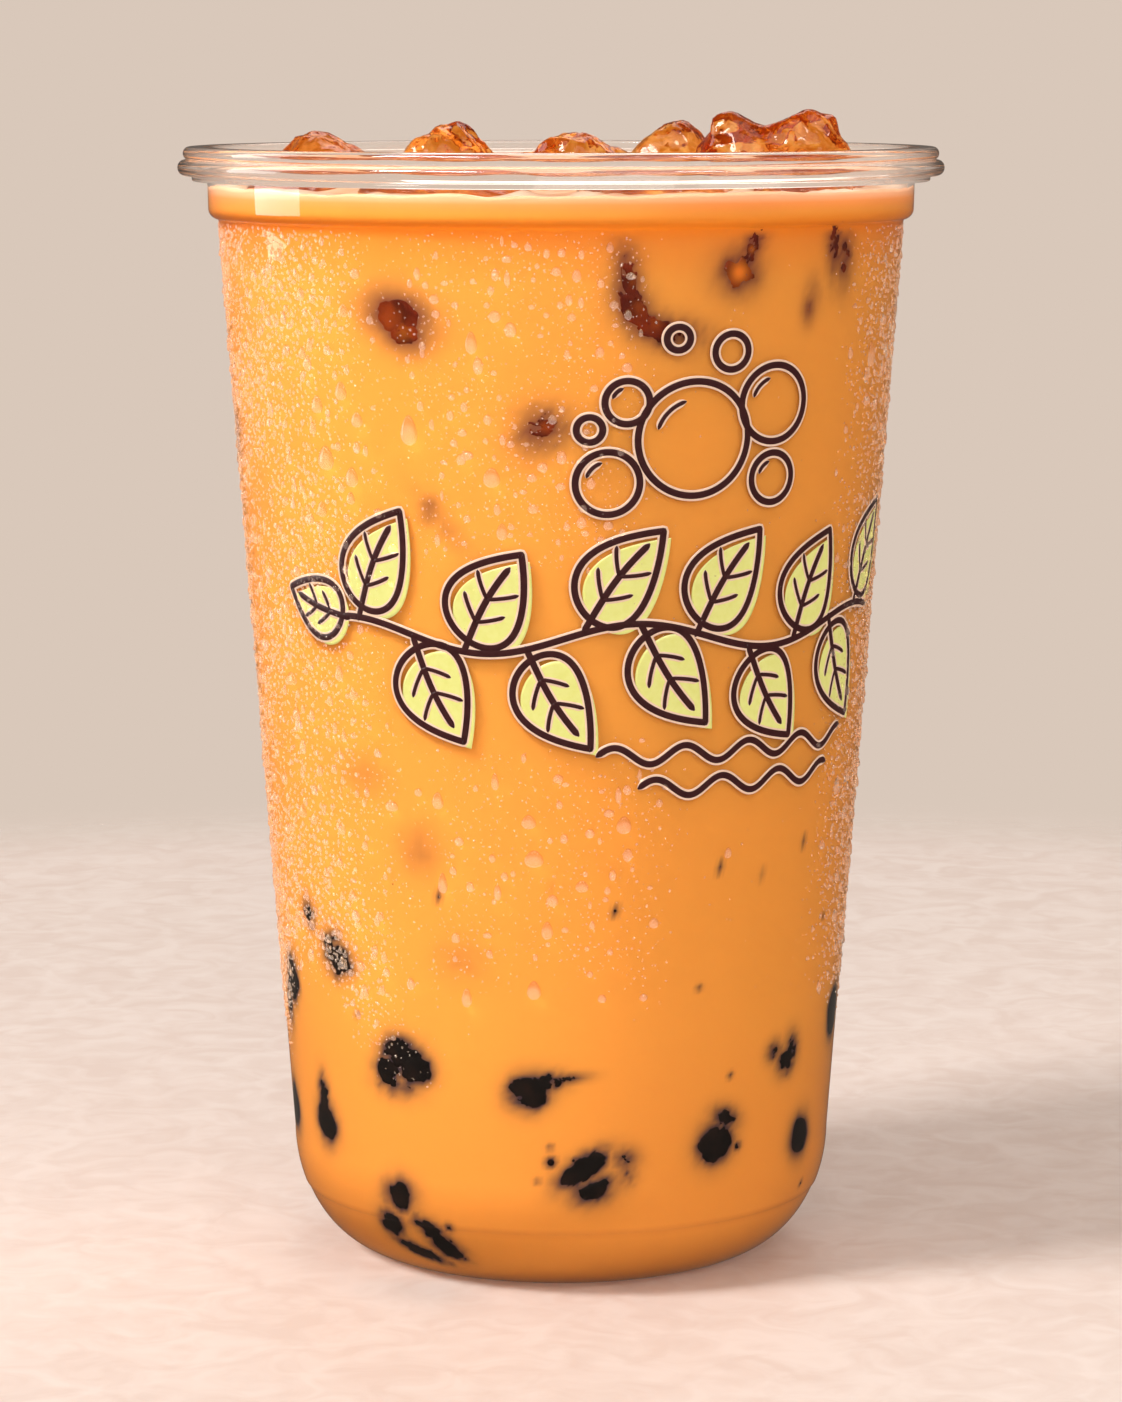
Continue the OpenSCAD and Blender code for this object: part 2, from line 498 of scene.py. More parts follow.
@dataclass(frozen=True)
class CupShape:
    """Sizes of the clear cup and its rolled rim. Rim width and height come from the frame."""

    rim_r: float
    height: float
    low_r: float = 32.1
    wall: float = 0.8
    toe_h: float = 14.5
    foot_r: float = 21.0
    line_z: float = 8.0
    line_in: float = 0.2
    hollow_h: float = 1.0
    floor_t: float = 1.2
    hollow_in: float = 5.0
    ring_w: float = 3.0
    shoulder_drop: float = 8.4
    shoulder_out: float = 1.25
    shoulder_round: float = 1.2
    shoulder_sag: float = 0.6
    band_in: float = 3.55
    neck_out: float = 0.15
    plate_t: float = 1.0
    rim_h: float = 3.3
    low_bead_r: float = 0.8
    high_bead_r: float = 0.7
    bead_back: float = 0.65
    lip_in: float = 2.1
    lip_w: float = 0.4
    lip_h: float = 0.65
    mouth_round: float = 0.4
    fill_gap: float = 5.0
    edge_ease: float = 0.14
    longest_side: float = 2.0
    chart_side: float = 0.8

    @property
    def band_r(self) -> float:
        """Outer radius of the stacking shoulder's band."""
        return self.rim_r - self.band_in

    @property
    def neck_r(self) -> float:
        """Outer radius of the wall under the rim."""
        return self.band_r + self.neck_out

    @property
    def top_r(self) -> float:
        """Outer radius at the top of the straight side."""
        return self.band_r - self.shoulder_out

    @property
    def step_z(self) -> float:
        """Height of the underside of the shoulder."""
        return self.height - self.shoulder_drop

    @property
    def level(self) -> float:
        """Height of the drink's surface."""
        return self.height - self.fill_gap

    @property
    def corner(self) -> tuple[float, float]:
        """Centre of the shoulder's rounded corner."""
        return self.top_r, self.step_z + self.shoulder_round

    def outer_side(self) -> np.ndarray:
        """Outside of the wall, from the foot ring up to under the rim.

        Returns:
            Radii and heights.
        """
        line = math.degrees(math.acos(1 - self.line_z / self.toe_h)) - 90
        toe = (self.foot_r, self.toe_h)
        wide = self.low_r - self.foot_r
        shoulder = (self.shoulder_out, self.shoulder_round)
        return np.concatenate([
            arc(toe, (wide - self.line_in, self.toe_h), (-90, line), 26),
            arc(toe, (wide, self.toe_h), (line, 0), 10),
            [[self.top_r, self.step_z - self.shoulder_sag]],
            arc(self.corner, shoulder, (-85, 0), 9),
        ])

    def inner_side(self) -> np.ndarray:
        """Inside of the wall, from the middle of the floor up to the shoulder's corner.

        Returns:
            Radii and heights.
        """
        floor = self.hollow_h + self.floor_t
        toe = (self.low_r - self.foot_r - self.wall, self.toe_h - floor)
        shoulder = (self.shoulder_out - self.wall, self.shoulder_round - self.wall)
        return np.concatenate([
            [[0, floor]],
            arc((self.foot_r, self.toe_h), toe, (-90, 0), 26),
            [[self.top_r - self.wall, self.step_z - self.shoulder_sag + self.wall]],
            arc(self.corner, shoulder, (-90, 0), 7),
        ])

    def rim(self) -> np.ndarray:
        """The rolled rim: under the plate, down the lip, round both beads and over the mouth.

        Returns:
            Radii and heights.
        """
        rim_z, plate = self.height - self.rim_h, self.height - self.plate_t
        lip_r, lip_z = self.rim_r - self.lip_in, rim_z - self.lip_h
        low, high = 0.27 * self.rim_h, 0.23 * self.rim_h
        low_r, high_r = self.low_bead_r, self.high_bead_r
        mouth = self.mouth_round
        return np.concatenate([
            [[self.neck_r, plate], [lip_r, plate], [lip_r, lip_z], [lip_r + self.lip_w, lip_z]],
            [[self.rim_r - 2 * low_r, rim_z]],
            arc((self.rim_r - low_r, rim_z + low), (low_r, low), (-90, 80), 12),
            arc((self.rim_r - self.bead_back - high_r, self.height - high), (high_r, high), (-70, 90), 12),
            arc((self.neck_r - self.wall + mouth, self.height - mouth), (mouth, mouth), (90, 180), 8),
        ])

    def section(self) -> np.ndarray:
        """The whole wall in section, from the hollow under the floor round to the floor's top.

        Returns:
            Radii and heights, both ends on the axis.
        """
        hollow = [[0, self.hollow_h], [self.foot_r - self.hollow_in, self.hollow_h]]
        run = np.concatenate([
            hollow,
            [[self.foot_r - self.ring_w, 0]],
            self.outer_side(),
            self.rim(),
            self.inner_side()[::-1],
        ])
        return evened(eased(run, self.edge_ease), self.longest_side)

    def outside(self) -> Outline:
        """Chart of the outside of the wall, from the foot ring up to under the rim."""
        return Outline(evened(eased(self.outer_side(), self.edge_ease), self.chart_side))


# ---------------------------------------------------------------- finishes


@dataclass(frozen=True)
class ClearPolypropylene:
    """Injection-moulded clear polypropylene: water-clear and glossy, a little milky at the edges."""

    tint: str = "#FFFBF8"
    roughness: float = 0.015
    ior: float = 1.49
    wave_mm: float = 9.0
    wave_height_mm: float = 0.4
    wave_strength: float = 0.04

    def material(self) -> bpy.types.Material:
        """Builds the finish: clear, with the faint waviness that moulding leaves.

        Returns:
            The material.
        """
        material, tree, output = new_material("clear_polypropylene_moulded")
        waves = rippled(tree, self.wave_mm, self.wave_height_mm, self.wave_strength, 1.0)
        body = add_node(
            tree, "BsdfPrincipled",
            {"Base Color": linear(self.tint), "Roughness": self.roughness, "IOR": self.ior,
             "Transmission Weight": 1.0, "Normal": waves},
        )
        let_lamps_through(tree, body, output)
        return material


@dataclass(frozen=True)
class MilkTea:
    """Black tea with milk: opaque, warm orange, paler and frothy at the top, with painted shade: darker in
    the foot, along the moulding line and under the shoulder.
    """

    body: str = "#EEA749"
    # low and foot darken the lower side, a painted shade where the wall turns under; line is a painted dark
    # shade line at the moulding ledge; under and step are painted shade beneath the shoulder's edge.
    low: str = "#E99D44"
    foot: str = "#E59844"
    line: str = "#B4662C"
    under: str = "#EC983C"
    step: str = "#E98A22"
    band: str = "#E69A40"
    cream: str = "#EA954E"
    edge: str = "#ECB894"
    froth: str = "#FBE0C6"
    slate: str = "#20243A"
    brown: str = "#5C2A34"
    pearls_show: float = 0.96
    ice_shows: float = 0.86
    cloud: str = "#FFAA55"
    cloud_mm: float = 26.0
    cloud_most: float = 0.1
    roughness: float = 0.3
    ior: float = 1.34
    shine: float = 0.12

    def column(self, cup: CupShape) -> list[tuple[float, str]]:
        """Colours up the cup: the foot, the toe's line, the side, the shoulder and the band, with painted
        shade darkening the foot, the toe's line and the wall under the shoulder.

        Args:
            cup: the cup, for the heights of its line and step.

        Returns:
            Shares of the cup's height and colours.
        """
        line, step = cup.line_z, cup.step_z
        # Painted shade: darker in the foot and low side, a dark line at the toe's ledge, and darker just
        # under the shoulder.
        stops = [
            (1.0, self.foot), (line - 0.35, self.low), (line, self.line), (line + 0.3, self.low),
            (line + 1.5, self.low), (line + 24, self.body), (step - 6, self.body), (step - 1.4, self.under),
            (step, self.step), (step + 0.7, self.step), (step + 1.6, self.band),
            (step + 2.7, self.cream), (step + 3.6, self.edge),
        ]
        return [(z / cup.height, shade) for z, shade in stops]

    def material(self, cup: CupShape) -> bpy.types.Material:
        """Builds the finish from the height up the cup, which carries painted shade low down and under the
        shoulder, and from the veils over sunk things.

        Args:
            cup: the cup, for the heights where the colour changes.

        Returns:
            The material.
        """
        material, tree, output = new_material("milk_tea_opaque")
        place = add_node(tree, "TexCoord", {})
        height = add_node(tree, "SeparateXYZ", {0: place.outputs["Object"]})
        share = add_node(
            tree, "MapRange", {0: height.outputs["Z"], 1: 0.0, 2: cup.height * MM, 3: 0.0, 4: 1.0}
        )
        column = add_node(tree, "ValToRGB", {0: share.outputs[0]})
        set_stops(column.color_ramp, self.column(cup))
        pale = mottled(tree, self.cloud_mm, [(0.35, 0.0), (0.7, self.cloud_most)], 2.0)
        mixed = add_node(tree, "MixRGB", {0: pale, 1: column.outputs[0], 2: linear(self.cloud)})
        veils = (("ice_veil", self.brown, self.ice_shows), ("pearl_veil", self.slate, self.pearls_show))
        for name, shade, most in (*veils, ("froth", self.froth, 1.0)):
            veil = add_node(tree, "Attribute", {}, attribute_name=name)
            depth = add_node(tree, "MapRange", {0: veil.outputs["Fac"], 1: 0.0, 2: 1.0, 3: 0.0, 4: most})
            mixed = add_node(tree, "MixRGB", {0: depth.outputs[0], 1: mixed.outputs[0], 2: linear(shade)})
        body = add_node(
            tree, "BsdfPrincipled",
            {"Base Color": mixed.outputs[0], "Roughness": self.roughness, "IOR": self.ior,
             "Specular IOR Level": self.shine},
        )
        tree.links.new(body.outputs[0], output.inputs["Surface"])
        return material


@dataclass(frozen=True)
class BoiledTapioca:
    """Boiled tapioca pearls: brown-black, soft and glossy, a little browner where thin."""

    dark: str = "#0A0706"
    thin: str = "#1E120D"
    patch_mm: float = 2.5
    roughness: float = 0.3
    ior: float = 1.42
    shine: float = 0.1

    def material(self) -> bpy.types.Material:
        """Builds the finish from two near-black browns in soft patches.

        Returns:
            The material.
        """
        material, tree, output = new_material("tapioca_pearl_boiled")
        patches = mottled(tree, self.patch_mm, [(0.45, self.dark), (0.75, self.thin)], 3.0)
        body = add_node(
            tree, "BsdfPrincipled",
            {"Base Color": patches, "Roughness": self.roughness, "IOR": self.ior,
             "Specular IOR Level": self.shine},
        )
        tree.links.new(body.outputs[0], output.inputs["Surface"])
        return material


@dataclass(frozen=True)
class TeaStainedIce:
    """Clear machine ice wetted by tea: glassy and amber, browner where it is thick, sharp glints."""

    thin: str = "#FFF0BC"
    streak: str = "#D09E40"
    depth: str = "#ECC83C"
    density: float = 125.0
    roughness: float = 0.02
    ior: float = 1.31
    vein_mm: float = 4.0
    melt_mm: float = 2.2
    melt_height_mm: float = 0.4
    melt_strength: float = 0.4

    def material(self) -> bpy.types.Material:
        """Builds the finish: clear, tinted in veins, amber through its depth, rippled by melting.

        Returns:
            The material.
        """
        material, tree, output = new_material("tea_stained_ice")
        veins = mottled(tree, self.vein_mm, [(0.4, self.streak), (0.58, self.thin)], 3.0, 1.4)
        melt = rippled(tree, self.melt_mm, self.melt_height_mm, self.melt_strength, 2.0, 0.8)
        body = add_node(
            tree, "BsdfPrincipled",
            {"Base Color": veins, "Roughness": self.roughness, "IOR": self.ior,
             "Transmission Weight": 1.0, "Normal": melt},
        )
        let_lamps_through(tree, body, output)
        amber = add_node(tree, "VolumeAbsorption", {"Color": linear(self.depth), "Density": self.density})
        tree.links.new(amber.outputs[0], output.inputs["Volume"])
        return material


@dataclass(frozen=True)
class SunkIceFace:
    """The face of an ice lump pressed to the wall: dark, clear maroon-brown, with a painted glow of amber
    light inside.
    """

    dark: str = "#4C1408"
    mid: str = "#7A2A0C"
    painted_glow_amber: str = "#F08826"
    vein_mm: float = 2.6
    roughness: float = 0.2
    shine: float = 0.1

    def material(self) -> bpy.types.Material:
        """Builds the finish from dark tea colours in soft veins, and a painted glow of amber light where
        its glow field says.

        Returns:
            The material.
        """
        material, tree, output = new_material("sunk_ice_face")
        veins = mottled(tree, self.vein_mm, [(0.4, self.dark), (0.66, self.mid)], 2.0, 0.6)
        # Painted glow: amber light mixed into the face where the glow field says.
        painted_glow = add_node(tree, "Attribute", {}, attribute_name="painted_glow")
        lit = add_node(tree, "MixRGB", {0: painted_glow.outputs["Fac"], 1: veins, 2: linear(self.painted_glow_amber)})
        body = add_node(
            tree, "BsdfPrincipled",
            {"Base Color": lit.outputs[0], "Roughness": self.roughness, "Specular IOR Level": self.shine},
        )
        tree.links.new(body.outputs[0], output.inputs["Surface"])
        return material


@dataclass(frozen=True)
class CondensedWater:
    """Dew on cold plastic: clear water, smooth; milk is the share that scatters, more in fine dew.

    A drop is tinted darker round its upper edge, a painted shade for the room it bends away, and stays
    paler in its foot.
    """

    milk: float
    pale: str = "#FFF5EC"
    # dark is the painted shade tint round a drop's upper edge.
    dark: str = "#F0CE9C"
    roughness: float = 0.03
    ior: float = 1.33

    def material(self) -> bpy.types.Material:
        """Builds the finish, tinted darker by the painted shade that each drop carries.

        Returns:
            The material.
        """
        material, tree, output = new_material("condensed_water_%02d" % round(100 * self.milk))
        shade = add_node(tree, "Attribute", {}, attribute_name="shade")
        tint = add_node(
            tree, "MixRGB", {0: shade.outputs["Fac"], 1: linear(self.pale), 2: linear(self.dark)}
        )
        body = add_node(
            tree, "BsdfPrincipled",
            {"Base Color": tint.outputs[0], "Roughness": self.roughness, "IOR": self.ior,
             "Transmission Weight": 1 - self.milk},
        )
        let_lamps_through(tree, body, output)
        return material


@dataclass(frozen=True)
class PrintInk:
    """Opaque printing ink on plastic: flat colour with the faint mottle of a screen-laid film."""

    name: str
    shade: str
    mottle: str
    grain_mm: float = 0.8
    roughness: float = 0.38
    ior: float = 1.5

    def material(self) -> bpy.types.Material:
        """Builds the finish from two close shades in a fine mottle.

        Returns:
            The material.
        """
        material, tree, output = new_material(self.name)
        film = mottled(tree, self.grain_mm, [(0.35, self.shade), (0.7, self.mottle)], 2.0)
        body = add_node(
            tree, "BsdfPrincipled", {"Base Color": film, "Roughness": self.roughness, "IOR": self.ior}
        )
        tree.links.new(body.outputs[0], output.inputs["Surface"])
        return material


# ---------------------------------------------------------------- cup, drink and what is sunk in it


@dataclass(frozen=True)
class MouldedCup:
    """The clear cup, one turned wall."""

    shape: CupShape
    columns: int = 288

    def build(self) -> bpy.types.Object:
        """Turns the section about the axis and dresses it.

        Returns:
            The cup's wall.
        """
        section = self.shape.section()
        grid = turned(section[1:-1], self.columns)
        poles = tuple(np.array([0, 0, section[i, 1]]) for i in (0, -1))
        piece = make_piece("cup_wall", grid_surface(grid, poles), ClearPolypropylene().material())
        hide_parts("cup")
        return piece


# A lump's face is worked out to this many half widths, and where it touches it stands this far
# out of the tea's skin, in millimetres.
FACE_REACH = 1.75
FACE_OUT = 0.05
# The face's uneven field: heights, and distances between bumps as shares of the lump's half width.
FACE_WAVES = ((1.0, 1.6), (0.5, 0.8), (0.25, 0.34))
# How deep a lump's back is, in half widths.
BACK_DEPTH = 1.1


@dataclass(frozen=True)
class Sunk:
    """Something sunk in the tea that lies against the wall, flattened where it touches.

    Its face stands behind the wall by curve (q^2 - 1) + off + lean + rough times an uneven field,
    with q the distance from its middle in half widths and curve its half width times its half
    height over twice round_r. Where that is under 0 it touches the wall.
    """

    turn: float
    height: float
    wide: float
    tall: float
    tilt: float = 0.0
    off: float = 0.0
    rough: float = 0.09
    seed: int = 1
    round_r: float = 4.0
    lean: tuple[float, float] = (0.0, 0.0)
    # Strength of a painted glow of amber light in the middle of sunk ice.
    painted_glow: float = 0.1

    def local(self, wall: Outline, turn: np.ndarray, along: np.ndarray) -> np.ndarray:
        """Places on the wall, seen from this thing's middle along its own two directions.

        Args:
            wall: chart of the wall.
            turn: angles round the cup.
            along: distances along the wall.

        Returns:
            The places by 2, in millimetres.
        """
        middle = wall.along_at(self.height)
        swing = (turn - self.turn + 180) % 360 - 180
        u = np.radians(swing) * wall.radius(middle)
        v = along - middle
        c, s = math.cos(math.radians(self.tilt)), math.sin(math.radians(self.tilt))
        return np.stack([u * c + v * s, v * c - u * s], -1)

    def spot(self, wall: Outline, place: np.ndarray) -> tuple[np.ndarray, np.ndarray]:
        """Turns own places back into angles and distances along the wall.

        Args:
            wall: chart of the wall.
            place: own places by 2.

        Returns:
            Angles round the cup and distances along the wall.
        """
        middle = wall.along_at(self.height)
        c, s = math.cos(math.radians(self.tilt)), math.sin(math.radians(self.tilt))
        u, v = place[..., 0] * c - place[..., 1] * s, place[..., 0] * s + place[..., 1] * c
        return self.turn + np.degrees(u / wall.radius(middle)), middle + v

    def gap(self, place: np.ndarray) -> np.ndarray:
        """How far the face stands behind the wall, by the formula above.

        Args:
            place: own places by 2.

        Returns:
            One distance for each place.
        """
        q2 = (place[..., 0] / self.wide) ** 2 + (place[..., 1] / self.tall) ** 2
        curve = self.wide * self.tall / (2 * self.round_r)
        ragged = layered(place, FACE_WAVES, self.seed, min(self.wide, self.tall))
        lean = place[..., 0] * self.lean[0] + place[..., 1] * self.lean[1]
        return curve * (q2 - 1) + self.off + lean + self.rough * ragged

    def lump(self, wall: Outline, skin: float, rows: int = 26, columns: int = 54) -> Surface:
        """The lump itself: its face by the formula, flattened on the wall, its back a half ball.

        Args:
            wall: chart of the inside of the wall.
            skin: how deep in the wall the tea's own surface lies.
            rows: rows from the middle of the face to the middle of the back.
            columns: columns round it.

        Returns:
            The closed lump.
        """
        fall = np.linspace(0, np.pi, rows + 2)[1:-1, None]
        t = np.linspace(0, 2 * np.pi, columns, endpoint=False)[None]
        reach = FACE_REACH * np.sin(fall)
        place = np.stack([self.wide * reach * np.cos(t), self.tall * reach * np.sin(t)], -1)
        face = np.minimum(skin - self.gap(place), skin + FACE_OUT)
        rim = np.minimum(skin - self.gap(FACE_REACH * place / reach[..., None]), skin)
        back = np.abs(np.cos(fall)) * BACK_DEPTH * min(self.wide, self.tall)
        lift = np.where(fall < np.pi / 2, face, np.minimum(face, rim) - back)
        turn, along = self.spot(wall, place)
        middle = self.spot(wall, np.zeros(2))
        front = min(skin + FACE_OUT, skin - float(self.gap(np.zeros(2))))
        poles = tuple(wall.place(*middle, end) for end in (front, float(lift[-1].mean())))
        return grid_surface(wall.place(turn, along, lift), poles)


# Heights and distances between bumps: of the froth's edge, in millimetres and radians, and of
# its patches, as shares and in millimetres.
EDGE_WAVES = ((0.14, 0.9), (0.09, 0.22), (0.04, 0.07))
FROTH_PATCHES = ((1.0, 9.0), (0.3, 2.5))


@dataclass(frozen=True)
class Drink:
    """The milk tea: one body that reaches just into the wall, with froth along its edge."""

    shape: CupShape
    reach: float = 0.15
    edge_ease: float = 0.12
    chart_side: float = 0.08
    columns: int = 420
    top_rows: int = 48
    froth_rise: float = 0.35
    froth_foot: float = 1.1
    froth_in: float = 4.0
    swell: float = 0.16
    swell_mm: float = 7.0
    climb: float = 0.45
    climb_w: float = 0.8
    pocket: float = 7.0
    pocket_edge: tuple[float, float] = (0.4, 4.0)
    # Depth of tea that hides two thirds of a pearl, and of sunk ice.
    clear: tuple[float, float] = (0.6, 0.9)
    # Height and the distance between rows there: closer where sunk things and corners show.
    rows: tuple[tuple[float, float], ...] = (
        (0.0, 0.5), (40.0, 0.5), (48.0, 1.5), (94.0, 1.5), (99.0, 0.75), (120.0, 0.75),
        (121.6, 0.3), (124.2, 0.25), (125.4, 0.4), (130.0, 0.4),
    )

    def wall(self) -> Outline:
        """Chart of the inside of the cup, from the middle of the floor to the froth's edge.

        Its rows lie one row's distance apart, which the table above gives for each height.

        Returns:
            The chart.
        """
        shape = self.shape
        side = shape.inner_side()
        neck = shape.neck_r - shape.wall
        edge_z = shape.level + self.froth_rise
        rise = (edge_z - shape.corner[1]) / (shape.height - shape.mouth_round - shape.corner[1])
        run = np.concatenate([side, [[side[-1, 0] + (neck - side[-1, 0]) * rise, edge_z]]])
        fine = evened(eased(run, self.edge_ease), self.chart_side)
        heights, steps = np.array(self.rows).T
        middle = (fine[1:, 1] + fine[:-1, 1]) / 2
        count = np.linalg.norm(np.diff(fine, axis=0), axis=1) / np.interp(middle, heights, steps)
        ruler = np.concatenate([[0], np.cumsum(count)])
        spots = np.linspace(0, ruler[-1], int(ruler[-1]) + 1)
        return Outline(np.stack([np.interp(spots, ruler, fine[:, i]) for i in (0, 1)], -1))

    def froth_edge(self, turn: np.ndarray) -> np.ndarray:
        """How much the froth's edge rises and falls round the wall, in slow and quick waves."""
        way = np.stack([np.cos(np.radians(turn)), np.sin(np.radians(turn))], -1)
        return layered(way, EDGE_WAVES, 21)

    def build(self, pearls: list[Sunk], ices: list[Sunk], lumps: list["IceLump"]) -> bpy.types.Object:
        """Makes the body, its uneven top and the veils that it draws over what is sunk in it.

        Args:
            pearls: tapioca pearls at the wall.
            ices: sunk ice at the wall.
            lumps: the lumps that stand out of it.

        Returns:
            The drink.
        """
        wall = self.wall()
        turn = np.linspace(0, 360, self.columns, endpoint=False)[None]
        side = wall.place(turn, wall.along[1:, None], self.reach)
        edge = self.froth_edge(turn[0])
        foot = wall.run[-1, 1] - self.froth_foot
        side[..., 2] += edge * np.clip((side[..., 2] - foot) / self.froth_foot, 0, 1)
        edge_r = wall.run[-1, 0] + self.reach
        ring = np.linspace(1, 0, self.top_rows + 1)[1:-1, None]
        flat = np.stack(
            np.broadcast_arrays(
                edge_r * ring * np.sin(np.radians(turn)), -edge_r * ring * np.cos(np.radians(turn)),
            ), -1,
        )
        level, froth, under_lump_brown = self.top(flat, edge_r, edge, lumps)
        grid = np.concatenate([side, np.concatenate([flat, level[..., None]], -1)])
        bottom = np.array([0, 0, wall.run[0, 1] - self.reach])
        middle = np.array([0, 0, level[-1].mean()])
        surface = grid_surface(grid, (bottom, middle))
        piece = make_piece("milk_tea", surface, MilkTea().material(self.shape))
        count = side.shape[0] * side.shape[1]
        spots = np.broadcast_arrays(turn, wall.along[1:, None])
        under = 1 - smooth(self.shape.step_z - 1.2, self.shape.step_z + 0.2, side[..., 2])
        pearl_veil, ice_veil = (
            under * self.veil(wall, spots, things, clear)
            for things, clear in zip((pearls, ices), self.clear)
        )
        fields = (("pearl_veil", pearl_veil, 0), ("ice_veil", ice_veil, under_lump_brown), ("froth", 0, froth))
        for name, on_side, on_top in fields:
            values = np.zeros(len(surface.points))
            values[:count] = np.ravel(on_side)
            values[count : count + level.size] = np.ravel(on_top)
            set_field(piece, name, values)
        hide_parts("drink")
        return piece

    def veil(self, wall: Outline, spots: list[np.ndarray], things: list[Sunk], clear: float) -> np.ndarray:
        """How plainly sunk things show through: e to the minus gap over the clear depth.

        Args:
            wall: chart of the wall.
            spots: angles and distances of the body's points.
            things: what is sunk.
            clear: depth of tea that hides two thirds of what lies behind it.

        Returns:
            The strongest of the things at each point, 0 to 1.
        """
        shown = np.zeros(spots[0].shape)
        for thing in things:
            place = thing.local(wall, *spots)
            most = 3 * np.array([thing.wide, thing.tall]) + 2
            near = (np.abs(place) < most).all(-1)
            gap = np.maximum(thing.gap(place[near]), 0)
            shown[near] = np.maximum(shown[near], np.exp(-gap / clear))
        return np.where(shown > 0.01, shown, 0)

    def top(
        self, flat: np.ndarray, edge_r: float, edge: np.ndarray, lumps: list["IceLump"]
    ) -> tuple[np.ndarray, np.ndarray, np.ndarray]:
        """Height of the surface, how frothy it is and how brown it is under the ice.

        The level rises to the froth's edge at the wall, swells a little all over, climbs the
        lumps a little and dips into a pocket under each.

        Args:
            flat: x and y of the points.
            edge_r: radius of the surface's edge.
            edge: rise of the froth's edge round the wall.
            lumps: the lumps that stand in it.

        Returns:
            Heights, froth and brown, the last two from 0 to 1.
        """
        r = np.hypot(flat[..., 0], flat[..., 1])
        near = smooth(edge_r - self.froth_in, edge_r - 0.2, r)
        swell = self.swell * uneven(flat, self.swell_mm, 5) * (1 - near)
        height = self.shape.level + (self.froth_rise + edge) * near + swell
        patches = smooth(-0.1, 0.9, layered(flat, FROTH_PATCHES, 11))
        froth, under_lump_brown = np.clip(0.25 + 0.75 * near + 0.5 * patches, 0, 1), np.zeros(r.shape)
        for lump in lumps:
            past = lump.past_edge(flat)
            height = height + self.climb * np.exp(-((past / self.climb_w) ** 2))
            height = height - self.pocket * smooth(*self.pocket_edge, -past)
            froth = froth * (1 - 0.9 * smooth(-0.4, 1.0, -past))
            # Browner under each lump, growing inside its waterline.
            under_lump_brown = np.maximum(under_lump_brown, 0.5 * smooth(-0.6, 1.6, -past))
        return height, froth, under_lump_brown


# Saddles melted in a lump's crest: its number, across, depth and half width.
SADDLES = ((5, 23.9, 1.9, 2.6), (2, -19.5, 0.7, 1.6))
# Height and length of the waves that melting leaves: slow ones, creases and fine ripples.
SLOW_MELT = (0.24, 7.5)
CREASES = (0.3, 5.0)
RIPPLES = (0.05, 1.5)
# How often a lump's skin and its waterline are averaged with their neighbours.
SKIN_PASSES = 7
LINE_PASSES = 6
# How steeply the way to the waterline rises from a lump's middle, and how many ways are tried.
LINE_RISE = 0.36
LINE_WAYS = 72


